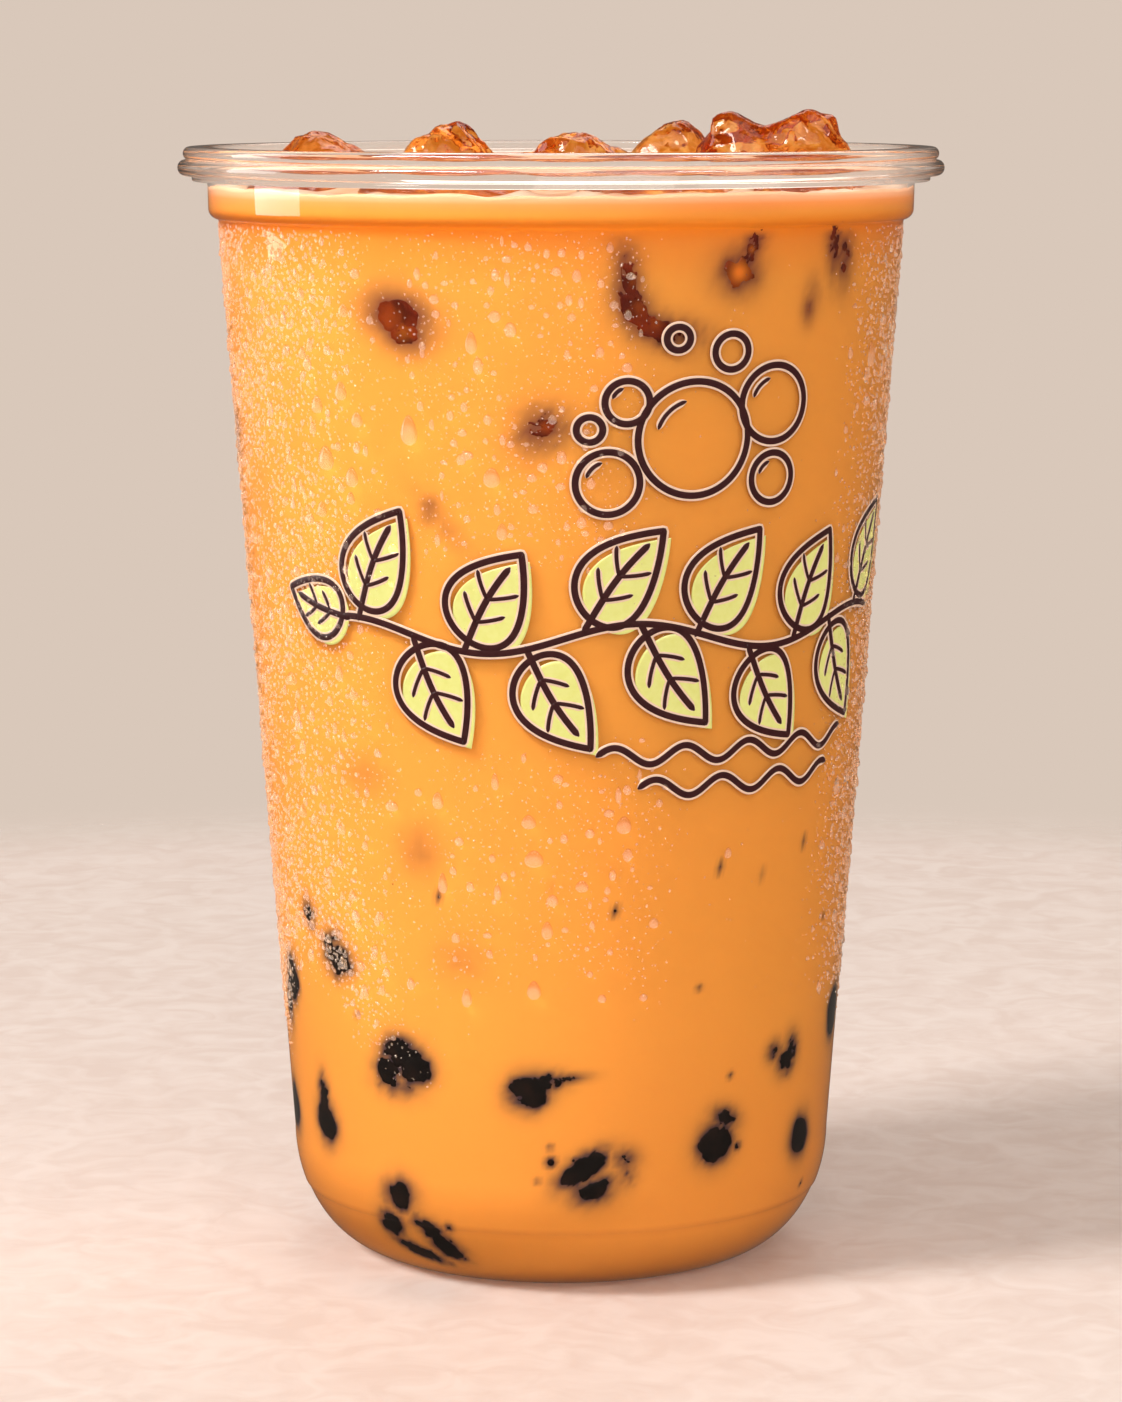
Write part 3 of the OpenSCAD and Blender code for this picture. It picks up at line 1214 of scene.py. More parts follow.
class IceLump:
    """A lump of ice that stands out of the drink, rounded and dented by melting."""

    def __init__(self, number: int, level: float) -> None:
        """Reads the lump's solid from the frame.

        Args:
            number: the lump's number in its node's name.
            level: height of the drink's surface.
        """
        self.number = number
        self.level = level
        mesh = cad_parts["ice_%d" % number].data
        points = np.empty(len(mesh.vertices) * 3, np.float32)
        mesh.vertices.foreach_get("co", points)
        self.points = points.reshape(-1, 3).astype(float) / MM
        mesh.calc_loop_triangles()
        tris = np.empty(len(mesh.loop_triangles) * 3, np.int32)
        mesh.loop_triangles.foreach_get("vertices", tris)
        self.tris = tris.reshape(-1, 3)
        low, high = self.points.min(0), self.points.max(0)
        self.middle = np.array([*(low + high)[:2] / 2, level - 3.0])

    def reach(self, way: np.ndarray) -> np.ndarray:
        """Distance from the middle to the solid's skin along each direction.

        A ray meets a triangle where its plane's share of the way gives weights that are all
        over 0. The furthest meeting counts.

        Args:
            way: count by 3 unit directions.

        Returns:
            One distance for each direction.
        """
        a, b, c = (self.points[self.tris[:, i]] - self.middle for i in range(3))
        side_b, side_c = b - a, c - a
        cross = np.cross(way[:, None], side_c[None])
        det = np.einsum("nmk,mk->nm", cross, side_b)
        det = np.where(np.abs(det) < 1e-9, np.nan, det)
        u = np.einsum("nmk,mk->nm", cross, -a) / det
        q = np.cross(-a, side_b)
        v = np.einsum("nk,mk->nm", way, q) / det
        far = np.einsum("mk,mk->m", side_c, q)[None] / det
        hit = (u >= -1e-6) & (v >= -1e-6) & (u + v <= 1 + 1e-6) & (far > 0)
        return np.where(hit, far, 0).max(1)

    def past_edge(self, flat: np.ndarray) -> np.ndarray:
        """Distance outside the lump's waterline, negative inside it.

        The waterline is where ways that rise a little from the middle meet the skin, averaged
        round the lump.

        Args:
            flat: x and y of points.

        Returns:
            One distance for each point.
        """
        t = np.linspace(0, 2 * np.pi, LINE_WAYS, endpoint=False)
        way = np.stack([np.cos(t), np.sin(t), LINE_RISE + 0 * t], -1)
        way /= np.linalg.norm(way, axis=1, keepdims=True)
        edge = self.reach(way) * np.hypot(way[:, 0], way[:, 1])
        for _ in range(LINE_PASSES):
            edge = (np.roll(edge, 1) + 2 * edge + np.roll(edge, -1)) / 4
        off = flat - self.middle[:2]
        angle = np.arctan2(off[..., 1], off[..., 0]) % (2 * np.pi)
        return np.hypot(off[..., 0], off[..., 1]) - np.interp(angle, t, edge, period=2 * np.pi)

    def build(self, material: bpy.types.Material, rows: int = 68, columns: int = 120) -> bpy.types.Object:
        """Makes the melted lump: the skin's distance, softened over its corners, plus dents.

        The dents are slow waves, creases where another wave crosses 0, and fine ripples.

        Args:
            material: the ice's finish.
            rows: rows from the top down.
            columns: columns round it.

        Returns:
            The lump.
        """
        fall = np.linspace(0, np.pi, rows + 2)[:, None]
        t = np.linspace(0, 2 * np.pi, columns, endpoint=False)[None]
        way = np.stack([np.sin(fall) * np.cos(t), np.sin(fall) * np.sin(t), np.cos(fall) + 0 * t], -1)
        skin = self.reach(way.reshape(-1, 3)).reshape(rows + 2, columns)
        for _ in range(SKIN_PASSES):
            skin[1:-1] = (skin[:-2] + 2 * skin[1:-1] + skin[2:]) / 4
            skin = (np.roll(skin, 1, 1) + 2 * skin + np.roll(skin, -1, 1)) / 4
        skin[0], skin[-1] = skin[0].mean(), skin[-1].mean()
        spots = way * skin[..., None]
        seed = 40 * self.number
        crease = 0.6 - np.abs(uneven(spots, CREASES[1], seed + 1))
        skin = skin + SLOW_MELT[0] * uneven(spots, SLOW_MELT[1], seed) + CREASES[0] * crease
        skin = skin + RIPPLES[0] * uneven(spots, RIPPLES[1], seed + 2)
        grid = self.middle + way * skin[..., None]
        for number, across, deep, wide in SADDLES:
            if number == self.number:
                high = smooth(self.level + 3, self.level + 8, grid[..., 2])
                grid[..., 2] -= deep * high * np.exp(-(((grid[..., 0] - across) / wide) ** 2))
        surface = grid_surface(grid[1:-1], (grid[0].mean(0), grid[-1].mean(0)))
        piece = make_piece("ice_lump_%d" % self.number, surface, material)
        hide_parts("ice_%d" % self.number)
        return piece


@dataclass(frozen=True)
class TapiocaPearls:
    """Tapioca pearls that lie at the wall: placed ones in front and a scatter behind."""

    front: tuple[Sunk, ...] = (
        Sunk(-59.9, 42.9, 0.7, 0.95, tilt=20, rough=0.06, seed=3, round_r=2.2),
        Sunk(-49.4, 38.2, 1.7, 1.6, rough=0.12, seed=4, round_r=3.0),
        Sunk(-52.0, 39.3, 1.7, 1.9, off=0.2, rough=0.14, seed=5),
        Sunk(-72.0, 34.0, 2.1, 2.6, tilt=-8, seed=6),
        Sunk(-76.0, 30.8, 1.1, 1.9, off=0.08, seed=7),
        Sunk(-37.7, 26.2, 1.5, 1.4, seed=8, round_r=3.0),
        Sunk(-30.8, 27.0, 1.9, 1.9, seed=9, round_r=3.4),
        Sunk(-34.2, 28.5, 2.9, 2.2, off=0.36, rough=0.13, seed=10),
        Sunk(-35.4, 24.6, 2.3, 1.2, off=0.36, seed=11),
        Sunk(-58.8, 18.0, 1.95, 2.3, seed=12),
        Sunk(-59.3, 20.8, 0.95, 2.0, seed=13, round_r=3.0),
        Sunk(-79.5, 17.6, 2.3, 2.7, seed=14),
        Sunk(-6.5, 25.1, 1.95, 1.7, tilt=25, seed=15),
        Sunk(-3.2, 26.3, 1.5, 0.8, tilt=6, seed=16, round_r=2.4),
        Sunk(1.0, 26.7, 1.1, 0.28, tilt=6, off=0.04, rough=0.04, seed=17, round_r=1.4),
        Sunk(4.4, 15.9, 2.95, 1.3, tilt=37, seed=18, round_r=3.4),
        Sunk(6.6, 13.5, 2.5, 1.7, tilt=15, off=0.3, rough=0.1, seed=19),
        Sunk(-2.1, 16.8, 0.48, 0.48, rough=0.02, seed=20, round_r=0.35),
        Sunk(13.3, 17.0, 0.75, 0.65, off=0.14, rough=0.06, seed=21, round_r=2.0),
        Sunk(13.8, 15.4, 0.5, 0.8, off=0.3, rough=0.06, seed=22, round_r=2.0),
        Sunk(33.8, 17.8, 2.1, 2.35, tilt=-15, seed=23),
        Sunk(36.1, 20.7, 1.15, 0.75, tilt=-25, rough=0.05, seed=24, round_r=2.4),
        Sunk(39.6, 17.0, 0.4, 0.4, off=0.1, rough=0.03, seed=25, round_r=0.35),
        Sunk(61.2, 16.1, 1.95, 2.15, tilt=12, rough=0.06, seed=26),
        Sunk(53.5, 26.0, 1.25, 1.15, seed=27, round_r=2.6),
        Sunk(55.2, 27.3, 0.65, 0.95, tilt=10, rough=0.06, seed=28, round_r=2.4),
        Sunk(49.0, 27.5, 0.62, 0.6, tilt=30, off=0.06, rough=0.06, seed=29, round_r=1.6),
        Sunk(77.3, 29.4, 2.5, 2.9, rough=0.06, seed=30),
        Sunk(-36.6, 11.4, 1.75, 1.5, tilt=40, seed=31, round_r=3.4),
        Sunk(-40.9, 7.5, 1.3, 1.6, tilt=-20, seed=32, round_r=3.0),
        Sunk(-29.8, 7.4, 1.9, 0.95, tilt=-40, seed=33, round_r=3.0),
        Sunk(-27.3, 5.4, 1.9, 1.25, tilt=-48, seed=34, round_r=3.0),
        Sunk(-35.8, 4.5, 2.6, 0.95, tilt=-30, seed=35, round_r=3.0),
        Sunk(-25.2, 8.2, 0.3, 0.3, off=0.05, rough=0.02, seed=36, round_r=0.35),
    )
    behind: int = 30
    behind_turns: tuple[float, float] = (96.0, 266.0)
    lowest: float = 6.0
    spread: float = 34.0
    crumbs: int = 34
    crumb_wide: float = 0.6
    skin: float = 0.15
    seed: int = 71

    def placed(self) -> list[Sunk]:
        """Every pearl and crumb: the front ones, then those drawn at random.

        Returns:
            The pearls.
        """
        rng = np.random.default_rng(self.seed)
        pearls = list(self.front)
        turns = np.linspace(*self.behind_turns, self.behind) + rng.uniform(-6, 6, self.behind)
        highs = self.lowest + self.spread * rng.power(0.8, self.behind)
        for i, (turn, high) in enumerate(zip(turns, highs)):
            wide, tall = rng.uniform(1.4, 2.5, 2)
            off = rng.choice([0.0, 0.0, 0.05, 0.3])
            pearls.append(Sunk(turn, high, wide, tall, rng.uniform(-40, 40), off, 0.09, 200 + i))
            if i % 3 == 0:
                shift = rng.uniform(-5, 5)
                pearls.append(Sunk(turn + shift, high + 2.4, 1.3, 1.1, shift * 6, off, 0.09, 260 + i, 3.0))
        for i in range(self.crumbs):
            size, off = rng.uniform(0.1, 0.24), rng.uniform(0.02, 0.3)
            spot = rng.uniform(-180, 180), rng.uniform(8, 62)
            pearls.append(Sunk(*spot, size, size, 0, off, 0.02, 300 + i, 0.15))
        return pearls

    def build(self, wall: Outline) -> bpy.types.Object:
        """Makes every pearl against the wall as one piece.

        Args:
            wall: chart of the inside of the cup.

        Returns:
            The pearls.
        """
        lumps = []
        for pearl in self.placed():
            grid = (26, 54) if pearl.wide > self.crumb_wide else (6, 10)
            lumps.append(pearl.lump(wall, self.skin, *grid))
        return make_piece("tapioca_pearls", joined(lumps), BoiledTapioca().material())


@dataclass(frozen=True)
class SunkIce:
    """Ice under the surface that shows where it lies against the wall."""

    front: tuple[Sunk, ...] = (
        Sunk(-26.6, 111.6, 1.9, 1.3, tilt=-20, rough=0.05, seed=31, painted_glow=0.25),
        Sunk(-29.0, 113.0, 3.4, 2.2, -14, off=0.25, rough=0.05, lean=(-0.08, -0.12), seed=32, round_r=7),
        Sunk(11.6, 117.3, 2.0, 0.7, tilt=-80, lean=(0, 0.3), seed=33),
        Sunk(12.7, 114.6, 2.1, 1.15, tilt=-62, lean=(0, 0.3), seed=34),
        Sunk(15.6, 112.7, 2.3, 1.05, tilt=-26, lean=(0, 0.3), seed=35),
        Sunk(18.8, 112.0, 1.3, 0.55, tilt=-8, off=0.12, lean=(0, 0.2), seed=36),
        Sunk(30.0, 118.2, 1.75, 1.6, off=0.04, seed=37, painted_glow=1.0),
        Sunk(32.2, 120.7, 0.55, 1.7, tilt=-20, seed=38, painted_glow=0.5),
        Sunk(50.4, 121.5, 0.6, 1.8, tilt=4, lean=(-0.2, 0), seed=39),
        Sunk(53.4, 119.4, 1.2, 2.3, tilt=4, off=0.3, lean=(-0.15, 0), seed=40),
        Sunk(-2.8, 101.3, 1.15, 1.0, rough=0.12, seed=41),
        Sunk(-4.2, 100.5, 1.8, 1.5, tilt=30, off=0.38, rough=0.12, seed=42),
        Sunk(-23.0, 91.9, 0.3, 0.3, off=0.12, rough=0.02, seed=43, round_r=1.0, painted_glow=0.6),
        Sunk(-20.4, 90.2, 2.7, 0.6, tilt=-48, off=1.1, seed=44, round_r=3.0),
        Sunk(-27.8, 52.8, 1.5, 1.6, off=1.0, seed=45),
        Sunk(45.2, 113.8, 0.32, 0.5, off=0.1, rough=0.04, seed=46, round_r=1.2, painted_glow=0.5),
        Sunk(46.0, 115.4, 0.6, 0.9, off=0.7, seed=47, round_r=2.0),
        Sunk(-19.7, 40.3, 1.4, 1.1, off=1.3, seed=48),
        Sunk(-40.0, 60.8, 2.6, 1.6, off=1.5, seed=49, round_r=5.0),
    )
    behind: int = 14
    behind_turns: tuple[float, float] = (85.0, 278.0)
    skin: float = 0.15
    seed: int = 72

    def placed(self) -> list[Sunk]:
        """The front faces and those drawn at random round the back.

        Returns:
            The ice.
        """
        rng = np.random.default_rng(self.seed)
        ices = list(self.front)
        turns = np.linspace(*self.behind_turns, self.behind) + rng.uniform(-5, 5, self.behind)
        for i, turn in enumerate(turns):
            wide, tall = rng.uniform(1.0, 2.8, 2)
            high, off = rng.uniform(90, 119), rng.choice([0.0, 0.0, 0.1, 0.5])
            lean = tuple(rng.uniform(-0.2, 0.2, 2))
            tilt, painted_glow = rng.uniform(-60, 60), rng.uniform(0, 0.8)
            ices.append(Sunk(turn, high, wide, tall, tilt, off, 0.1, 400 + i, 5.0, lean, painted_glow))
        return ices

    def build(self, wall: Outline) -> bpy.types.Object:
        """Makes every face of sunk ice as one piece.

        Args:
            wall: chart of the inside of the cup.

        Returns:
            The ice.
        """
        ices = self.placed()
        lumps = [ice.lump(wall, self.skin) for ice in ices]
        piece = make_piece("sunk_ice", joined(lumps), SunkIceFace().material())
        # A painted glow of light in the middle of each face, fading outwards.
        painted_glow = []
        for ice, lump in zip(ices, lumps):
            middle = wall.place(ice.turn, wall.along_at(ice.height), self.skin)
            far = np.linalg.norm(lump.points - middle, axis=1) / min(ice.wide, ice.tall)
            painted_glow.append(ice.painted_glow * np.exp(-2 * far**2))
        set_field(piece, "painted_glow", np.concatenate(painted_glow))
        return piece


# ---------------------------------------------------------------- dew and print on the outside


@dataclass(frozen=True)
class DewPatch:
    """A soft-edged patch of dew, by angle and by height.

    Each range says where the patch begins, where it is full, where it thins and where it ends.
    """

    most: float
    turns: tuple[float, float, float, float] = (-190, -180, 180, 190)
    heights: tuple[float, float, float, float] = (-10, 0, 200, 210)

    def density(self, turn: np.ndarray, height: np.ndarray) -> np.ndarray:
        """How dense the patch is: the product of its rise and its fall along both ranges.

        Args:
            turn: angles round the cup.
            height: heights.

        Returns:
            One density for each place, 0 to its most.
        """
        dense = self.most * np.ones(turn.shape)
        for value, (begin, full, thin, end) in ((turn, self.turns), (height, self.heights)):
            dense = dense * smooth(begin, full, value) * (1 - smooth(thin, end, value))
        return dense


@dataclass(frozen=True)
class Dew:
    """Condensation on the outside: a dense fine dew in patches, small drops and some that ran."""

    # The dense left side, the right edge, a patch under the shoulder and one at the waist.
    patches: tuple[DewPatch, ...] = (
        DewPatch(1.0, (-190, -180, -44, -22)),
        DewPatch(0.9, (50, 68, 180, 190)),
        DewPatch(0.8, (-34, -22, 8, 20), (82, 90, 200, 210)),
        DewPatch(0.6, (-34, -20, 12, 28), (32, 40, 60, 68)),
    )
    thinnest: float = 0.02
    ends_z: tuple[float, float] = (28.0, 37.0)
    # The wall's radius at the foot and its growth with height, a usual radius, how wide a degree
    # is there, and half of the greatest girth.
    low_r: float = 31.0
    slope: float = 0.0745
    usual_r: float = 37.0
    degree_mm: float = 0.65
    half_girth: float = 128.0
    fine_cell: float = 0.68
    fine_most: int = 6500
    fine_r: float = 0.1
    left_more: float = 0.12
    left_turns: tuple[float, float] = (-24.0, -52.0)
    right_more: float = 0.1
    right_turns: tuple[float, float] = (50.0, 70.0)
    small_cell: float = 2.0
    small_r: float = 0.42
    small_range: tuple[float, float] = (0.3, 0.75)
    spread: float = 0.3
    large: tuple[tuple[float, float, float], ...] = (
        (-26.0, 100.3, 1.2), (-43.8, 96.7, 1.15), (-38.0, 94.8, 0.9), (-39.4, 104.5, 0.85),
        (-45.2, 102.8, 0.85), (-36.2, 101.4, 0.75), (-45.6, 90.9, 0.75), (-38.5, 92.5, 0.6),
        (-14.6, 110.3, 0.85), (-37.9, 113.6, 0.65), (-23.1, 58.5, 0.75), (-5.9, 56.5, 0.75),
        (-5.0, 52.2, 0.95), (-22.7, 48.9, 0.75), (3.9, 49.1, 0.65), (-2.6, 43.9, 0.75),
        (-18.5, 35.7, 0.75), (-5.2, 36.9, 0.85), (11.6, 56.0, 0.85), (-58.3, 55.1, 0.75),
        (-58.8, 70.6, 0.85), (65.3, 107.7, 0.95), (7.7, 121.0, 0.45), (-11.6, 95.4, 0.95),
        (-10.0, 89.4, 0.7), (-12.0, 61.0, 0.6),
    )
    behind: int = 26
    dome_h: float = 0.5
    foot_in: float = 0.05
    uneven_share: float = 0.14
    fine_milk: float = 0.15
    small_milk: float = 0.12
    large_milk: float = 0.1
    size_seed: int = 81
    fine_seed: int = 82
    small_seed: int = 83
    large_seed: int = 84

    def density(self, turn: np.ndarray, height: np.ndarray) -> np.ndarray:
        """How dense the dew is, 0 to 1, from soft-edged patches.

        Args:
            turn: angles round the cup, -180 to 180.
            height: heights.

        Returns:
            One density for each place.
        """
        dense = np.max([patch.density(turn, height) for patch in self.patches], axis=0)
        way = np.radians(turn)
        places = np.stack([self.usual_r * np.sin(way), self.usual_r * np.cos(way), height], -1)
        field = smooth(-0.8, 0.8, uneven(places, 24, 61))
        # Behind, where no patch ends, the dew is more broken up.
        broken = 1 - (0.25 + 0.5 * smooth(80, 120, np.abs(turn))) * (1 - field)
        edge = smooth(*self.ends_z, height + 3 * uneven(places, 20, 62))
        return np.maximum(dense, self.thinnest) * broken * edge

    def scattered(
        self, cell: float, seed: int, low: float, high: float, power: float
    ) -> tuple[np.ndarray, np.ndarray, np.ndarray]:
        """Draws one place at random in each cell of the wall and keeps it where dew is dense.

        Args:
            cell: side of a cell.
            seed: choice of the draw.
            low: lowest height.
            high: highest height.
            power: how strongly thin dew is left out.

        Returns:
            Turns, heights and densities, in order of turn.
        """
        rng = np.random.default_rng(seed)
        across, up = np.arange(-self.half_girth, self.half_girth, cell), np.arange(low, high, cell)
        spots = np.stack(np.meshgrid(across, up, indexing="ij"), -1).reshape(-1, 2)
        spots = spots + rng.uniform(0, cell, spots.shape)
        turn = np.degrees(spots[:, 0] / (self.low_r + self.slope * spots[:, 1]))
        dense = self.density(turn, spots[:, 1])
        kept = (np.abs(turn) < 180) & (rng.uniform(0, 1, len(turn)) < dense**power)
        order = np.argsort(turn[kept])
        return turn[kept][order], spots[kept, 1][order], dense[kept][order]

    def all_large(self) -> tuple[np.ndarray, np.ndarray, np.ndarray]:
        """The placed large drops and those drawn round the back.

        Returns:
            Turns, heights and radii.
        """
        rng = np.random.default_rng(self.large_seed)
        placed = np.array(self.large)
        turn = np.concatenate([placed[:, 0], rng.uniform(95, 265, self.behind)])
        height = np.concatenate([placed[:, 1], rng.uniform(36, 116, self.behind)])
        return turn, height, np.concatenate([placed[:, 2], rng.uniform(0.5, 1.1, self.behind)])

    def clear_of_large(
        self, turn: np.ndarray, height: np.ndarray, dense: np.ndarray
    ) -> tuple[np.ndarray, np.ndarray, np.ndarray]:
        """Leaves out drops that a large drop has swallowed.

        Args:
            turn: angles of the drops.
            height: heights of the drops.
            dense: density at each.

        Returns:
            The same three for those that stay.
        """
        large_turn, large_height, size = self.all_large()
        swing = (turn[:, None] - large_turn[None] + 180) % 360 - 180
        across = self.degree_mm * swing
        up = height[:, None] - large_height[None] - 0.25 * size
        stays = (np.hypot(across, up / 1.3) > 1.2 * size + 0.1).all(1)
        return turn[stays], height[stays], dense[stays]

    def dome(self, rings: int, columns: int, run: float) -> Surface:
        """One drop of radius 1: a dome whose upper half is drawn out and narrowed by run.

        Across its foot its height is 0.5 (1 - q^2)^0.6, more below and less above, with q the
        distance from its middle. Its foot ring and flat foot lie just under the wall's face.

        Args:
            rings: rings of points.
            columns: points round each ring.
            run: how much it is stretched upwards.

        Returns:
            The drop, across, up and out of the wall.
        """
        q = np.linspace(1, 0, rings + 1)[:-1, None]
        t = np.linspace(0, 2 * np.pi, columns, endpoint=False)[None] + 0.3
        u, v = q * np.cos(t), q * np.sin(t)
        rise = self.dome_h * (1 - q**2) ** 0.6 * (1 - 0.35 * v) + 0 * t
        rise[0] = -self.foot_in
        u = u * (1 - 0.9 * run * np.clip(v, 0, 1) ** 1.5)
        v = np.where(v > 0, v * (1 + 2 * run), v)
        poles = (np.array([0, 0, -self.foot_in]), np.array([0, 0, self.dome_h]))
        shape = grid_surface(np.stack([u, v, rise], -1), poles)
        shape.flat = np.arange(len(shape.tris)) < columns
        return shape

    def domes(
        self, wall: Outline, turn: np.ndarray, height: np.ndarray, size: np.ndarray, rings: int,
        columns: int, run: float,
    ) -> tuple[Surface, np.ndarray]:
        """Drops on the wall, each a little wider or taller than round by chance.

        Args:
            wall: chart of the outside.
            turn: angles of their middles.
            height: heights of their middles.
            size: radii of their feet.
            rings: rings of points on each drop.
            columns: points round each ring.
            run: how much each is stretched upwards.

        Returns:
            All drops as one surface, and the painted shade of each of its points.
        """
        shape = self.dome(rings, columns, run)
        u, v, rise = shape.points.T
        rng = np.random.default_rng(len(turn))
        broad = 1 + self.uneven_share * rng.normal(size=(len(turn), 1))
        middle, size = wall.along_at(height)[:, None], size[:, None]
        along = middle + size * v / broad
        spin = turn[:, None] + np.degrees(size * broad * u / wall.radius(middle))
        # Painted shade: darker round the rim of each drop, most on its upper side.
        shade = smooth(0.6, 1.0, np.hypot(u, v)) * smooth(-0.7, 0.7, v + 0.4 * u)
        return repeated(shape, wall.place(spin, along, size * rise)), np.tile(shade, len(turn))

    def fine(self, top: float, rng: np.random.Generator) -> list[np.ndarray]:
        """Places of the fine dew, larger on the left and at the right edge, in even parts.

        Args:
            top: height of the shoulder.
            rng: source of the sizes.

        Returns:
            For each part its turns, heights and radii.
        """
        drawn = self.scattered(self.fine_cell, self.fine_seed, 24, top - 0.9, 1.0)
        turn, height, dense = self.clear_of_large(*drawn)
        left = self.left_more * smooth(*self.left_turns, turn) * dense
        usual = self.fine_r + left + self.right_more * smooth(*self.right_turns, turn)
        size = usual * np.exp(self.spread * rng.normal(size=len(turn)))
        parts = -(-len(turn) // self.fine_most)
        cuts = [part * len(turn) // parts for part in range(1, parts)]
        return np.split(np.stack([turn, height, size]), cuts, axis=1)

    def small(self, top: float, rng: np.random.Generator) -> tuple[np.ndarray, np.ndarray, np.ndarray]:
        """Places of the small drops.

        Args:
            top: height of the shoulder.
            rng: source of the sizes.

        Returns:
            Their turns, heights and radii.
        """
        drawn = self.scattered(self.small_cell, self.small_seed, 30, top - 1.5, 1.8)
        turn, height, _ = self.clear_of_large(*drawn)
        size = self.small_r * np.exp(self.spread * rng.normal(size=len(turn)))
        return turn, height, np.clip(size, *self.small_range)

    def build(self, wall: Outline, top: float) -> list[bpy.types.Object]:
        """Makes the three sizes of drops, the fine dew in several pieces.

        Args:
            wall: chart of the outside of the cup.
            top: height of the shoulder, where the dew ends.

        Returns:
            Fine dew, small drops and large drops.
        """
        rng = np.random.default_rng(self.size_seed)
        fine, small, large = (
            CondensedWater(milk).material() for milk in (self.fine_milk, self.small_milk, self.large_milk)
        )
        # Name, places, rings and columns of points, how far drawn out, and finish.
        drops = [
            ("fine_dew_%d" % number, places, 2, 6, 0.0, fine)
            for number, places in enumerate(self.fine(top, rng), 1)
        ]
        drops.append(("small_drops", self.small(top, rng), 3, 10, 0.12, small))
        drops.append(("large_drops", self.all_large(), 10, 28, 0.28, large))
        made = []
        for name, places, rings, columns, run, water in drops:
            surface, shade = self.domes(wall, *places, rings, columns, run)
            made.append(make_piece(name, surface, water))
            set_field(made[-1], "shade", shade)
        return made


@dataclass(frozen=True)
class Leaf:
    """One printed tea leaf on the flat print: its foot, its direction, its sizes and its bend."""

    foot: tuple[float, float]
    way: float
    length: float
    half: float
    bend: float

    def laid(self, along: np.ndarray, aside: np.ndarray) -> np.ndarray:
        """Turns the leaf's own places into places on the flat print.

        Args:
            along: shares of its length from the foot.
            aside: shares of its half width.

        Returns:
            Places by 2, in millimetres.
        """
        a = self.length * along
        b = self.half * aside + self.bend * self.length * np.sin(np.pi * along)
        c, s = math.cos(math.radians(self.way)), math.sin(math.radians(self.way))
        return np.stack([self.foot[0] + a * c - b * s, self.foot[1] + a * s + b * c], -1)

    def outline(self) -> np.ndarray:
        """The edge, a drop shape: along (1 + cos t) / 2 and aside sin t sin(t / 2) over its most.

        Returns:
            Places of a closed run.
        """
        t = np.linspace(0, 2 * np.pi, 84, endpoint=False)
        return self.laid((1 + np.cos(t)) / 2, np.sin(t) * np.sin(t / 2) / 0.77)

    def veins(self) -> list[np.ndarray]:
        """The middle vein, which runs on into the stem, and two pairs of side veins.

        Returns:
            Runs of places.
        """
        t = np.linspace(0, 1, 16)
        runs = [self.laid(0.98 * t - 0.14, 0 * t)]
        for start in (0.2, 0.45):
            for side in (-1, 1):
                runs.append(self.laid(start + 0.2 * t, side * 0.6 * t * (1.3 - 0.3 * t)))
        return runs


# A printed line in section: places across in widths and over the wall in films, under it last.
LINE_ACROSS = (-0.5, -0.42, 0.42, 0.5, 0.5, -0.5)
LINE_LIFT = (0.6, 1.0, 1.0, 0.6, -0.5, -0.5)
# A printed field in section, from near its middle out over its edge and back under it.
FIELD_ACROSS = (0.3, 0.65, 0.94, 1.0, 1.0, 0.65, 0.3)
FIELD_LIFT = (1.0, 1.0, 1.0, 0.7, -0.5, -0.5, -0.5)


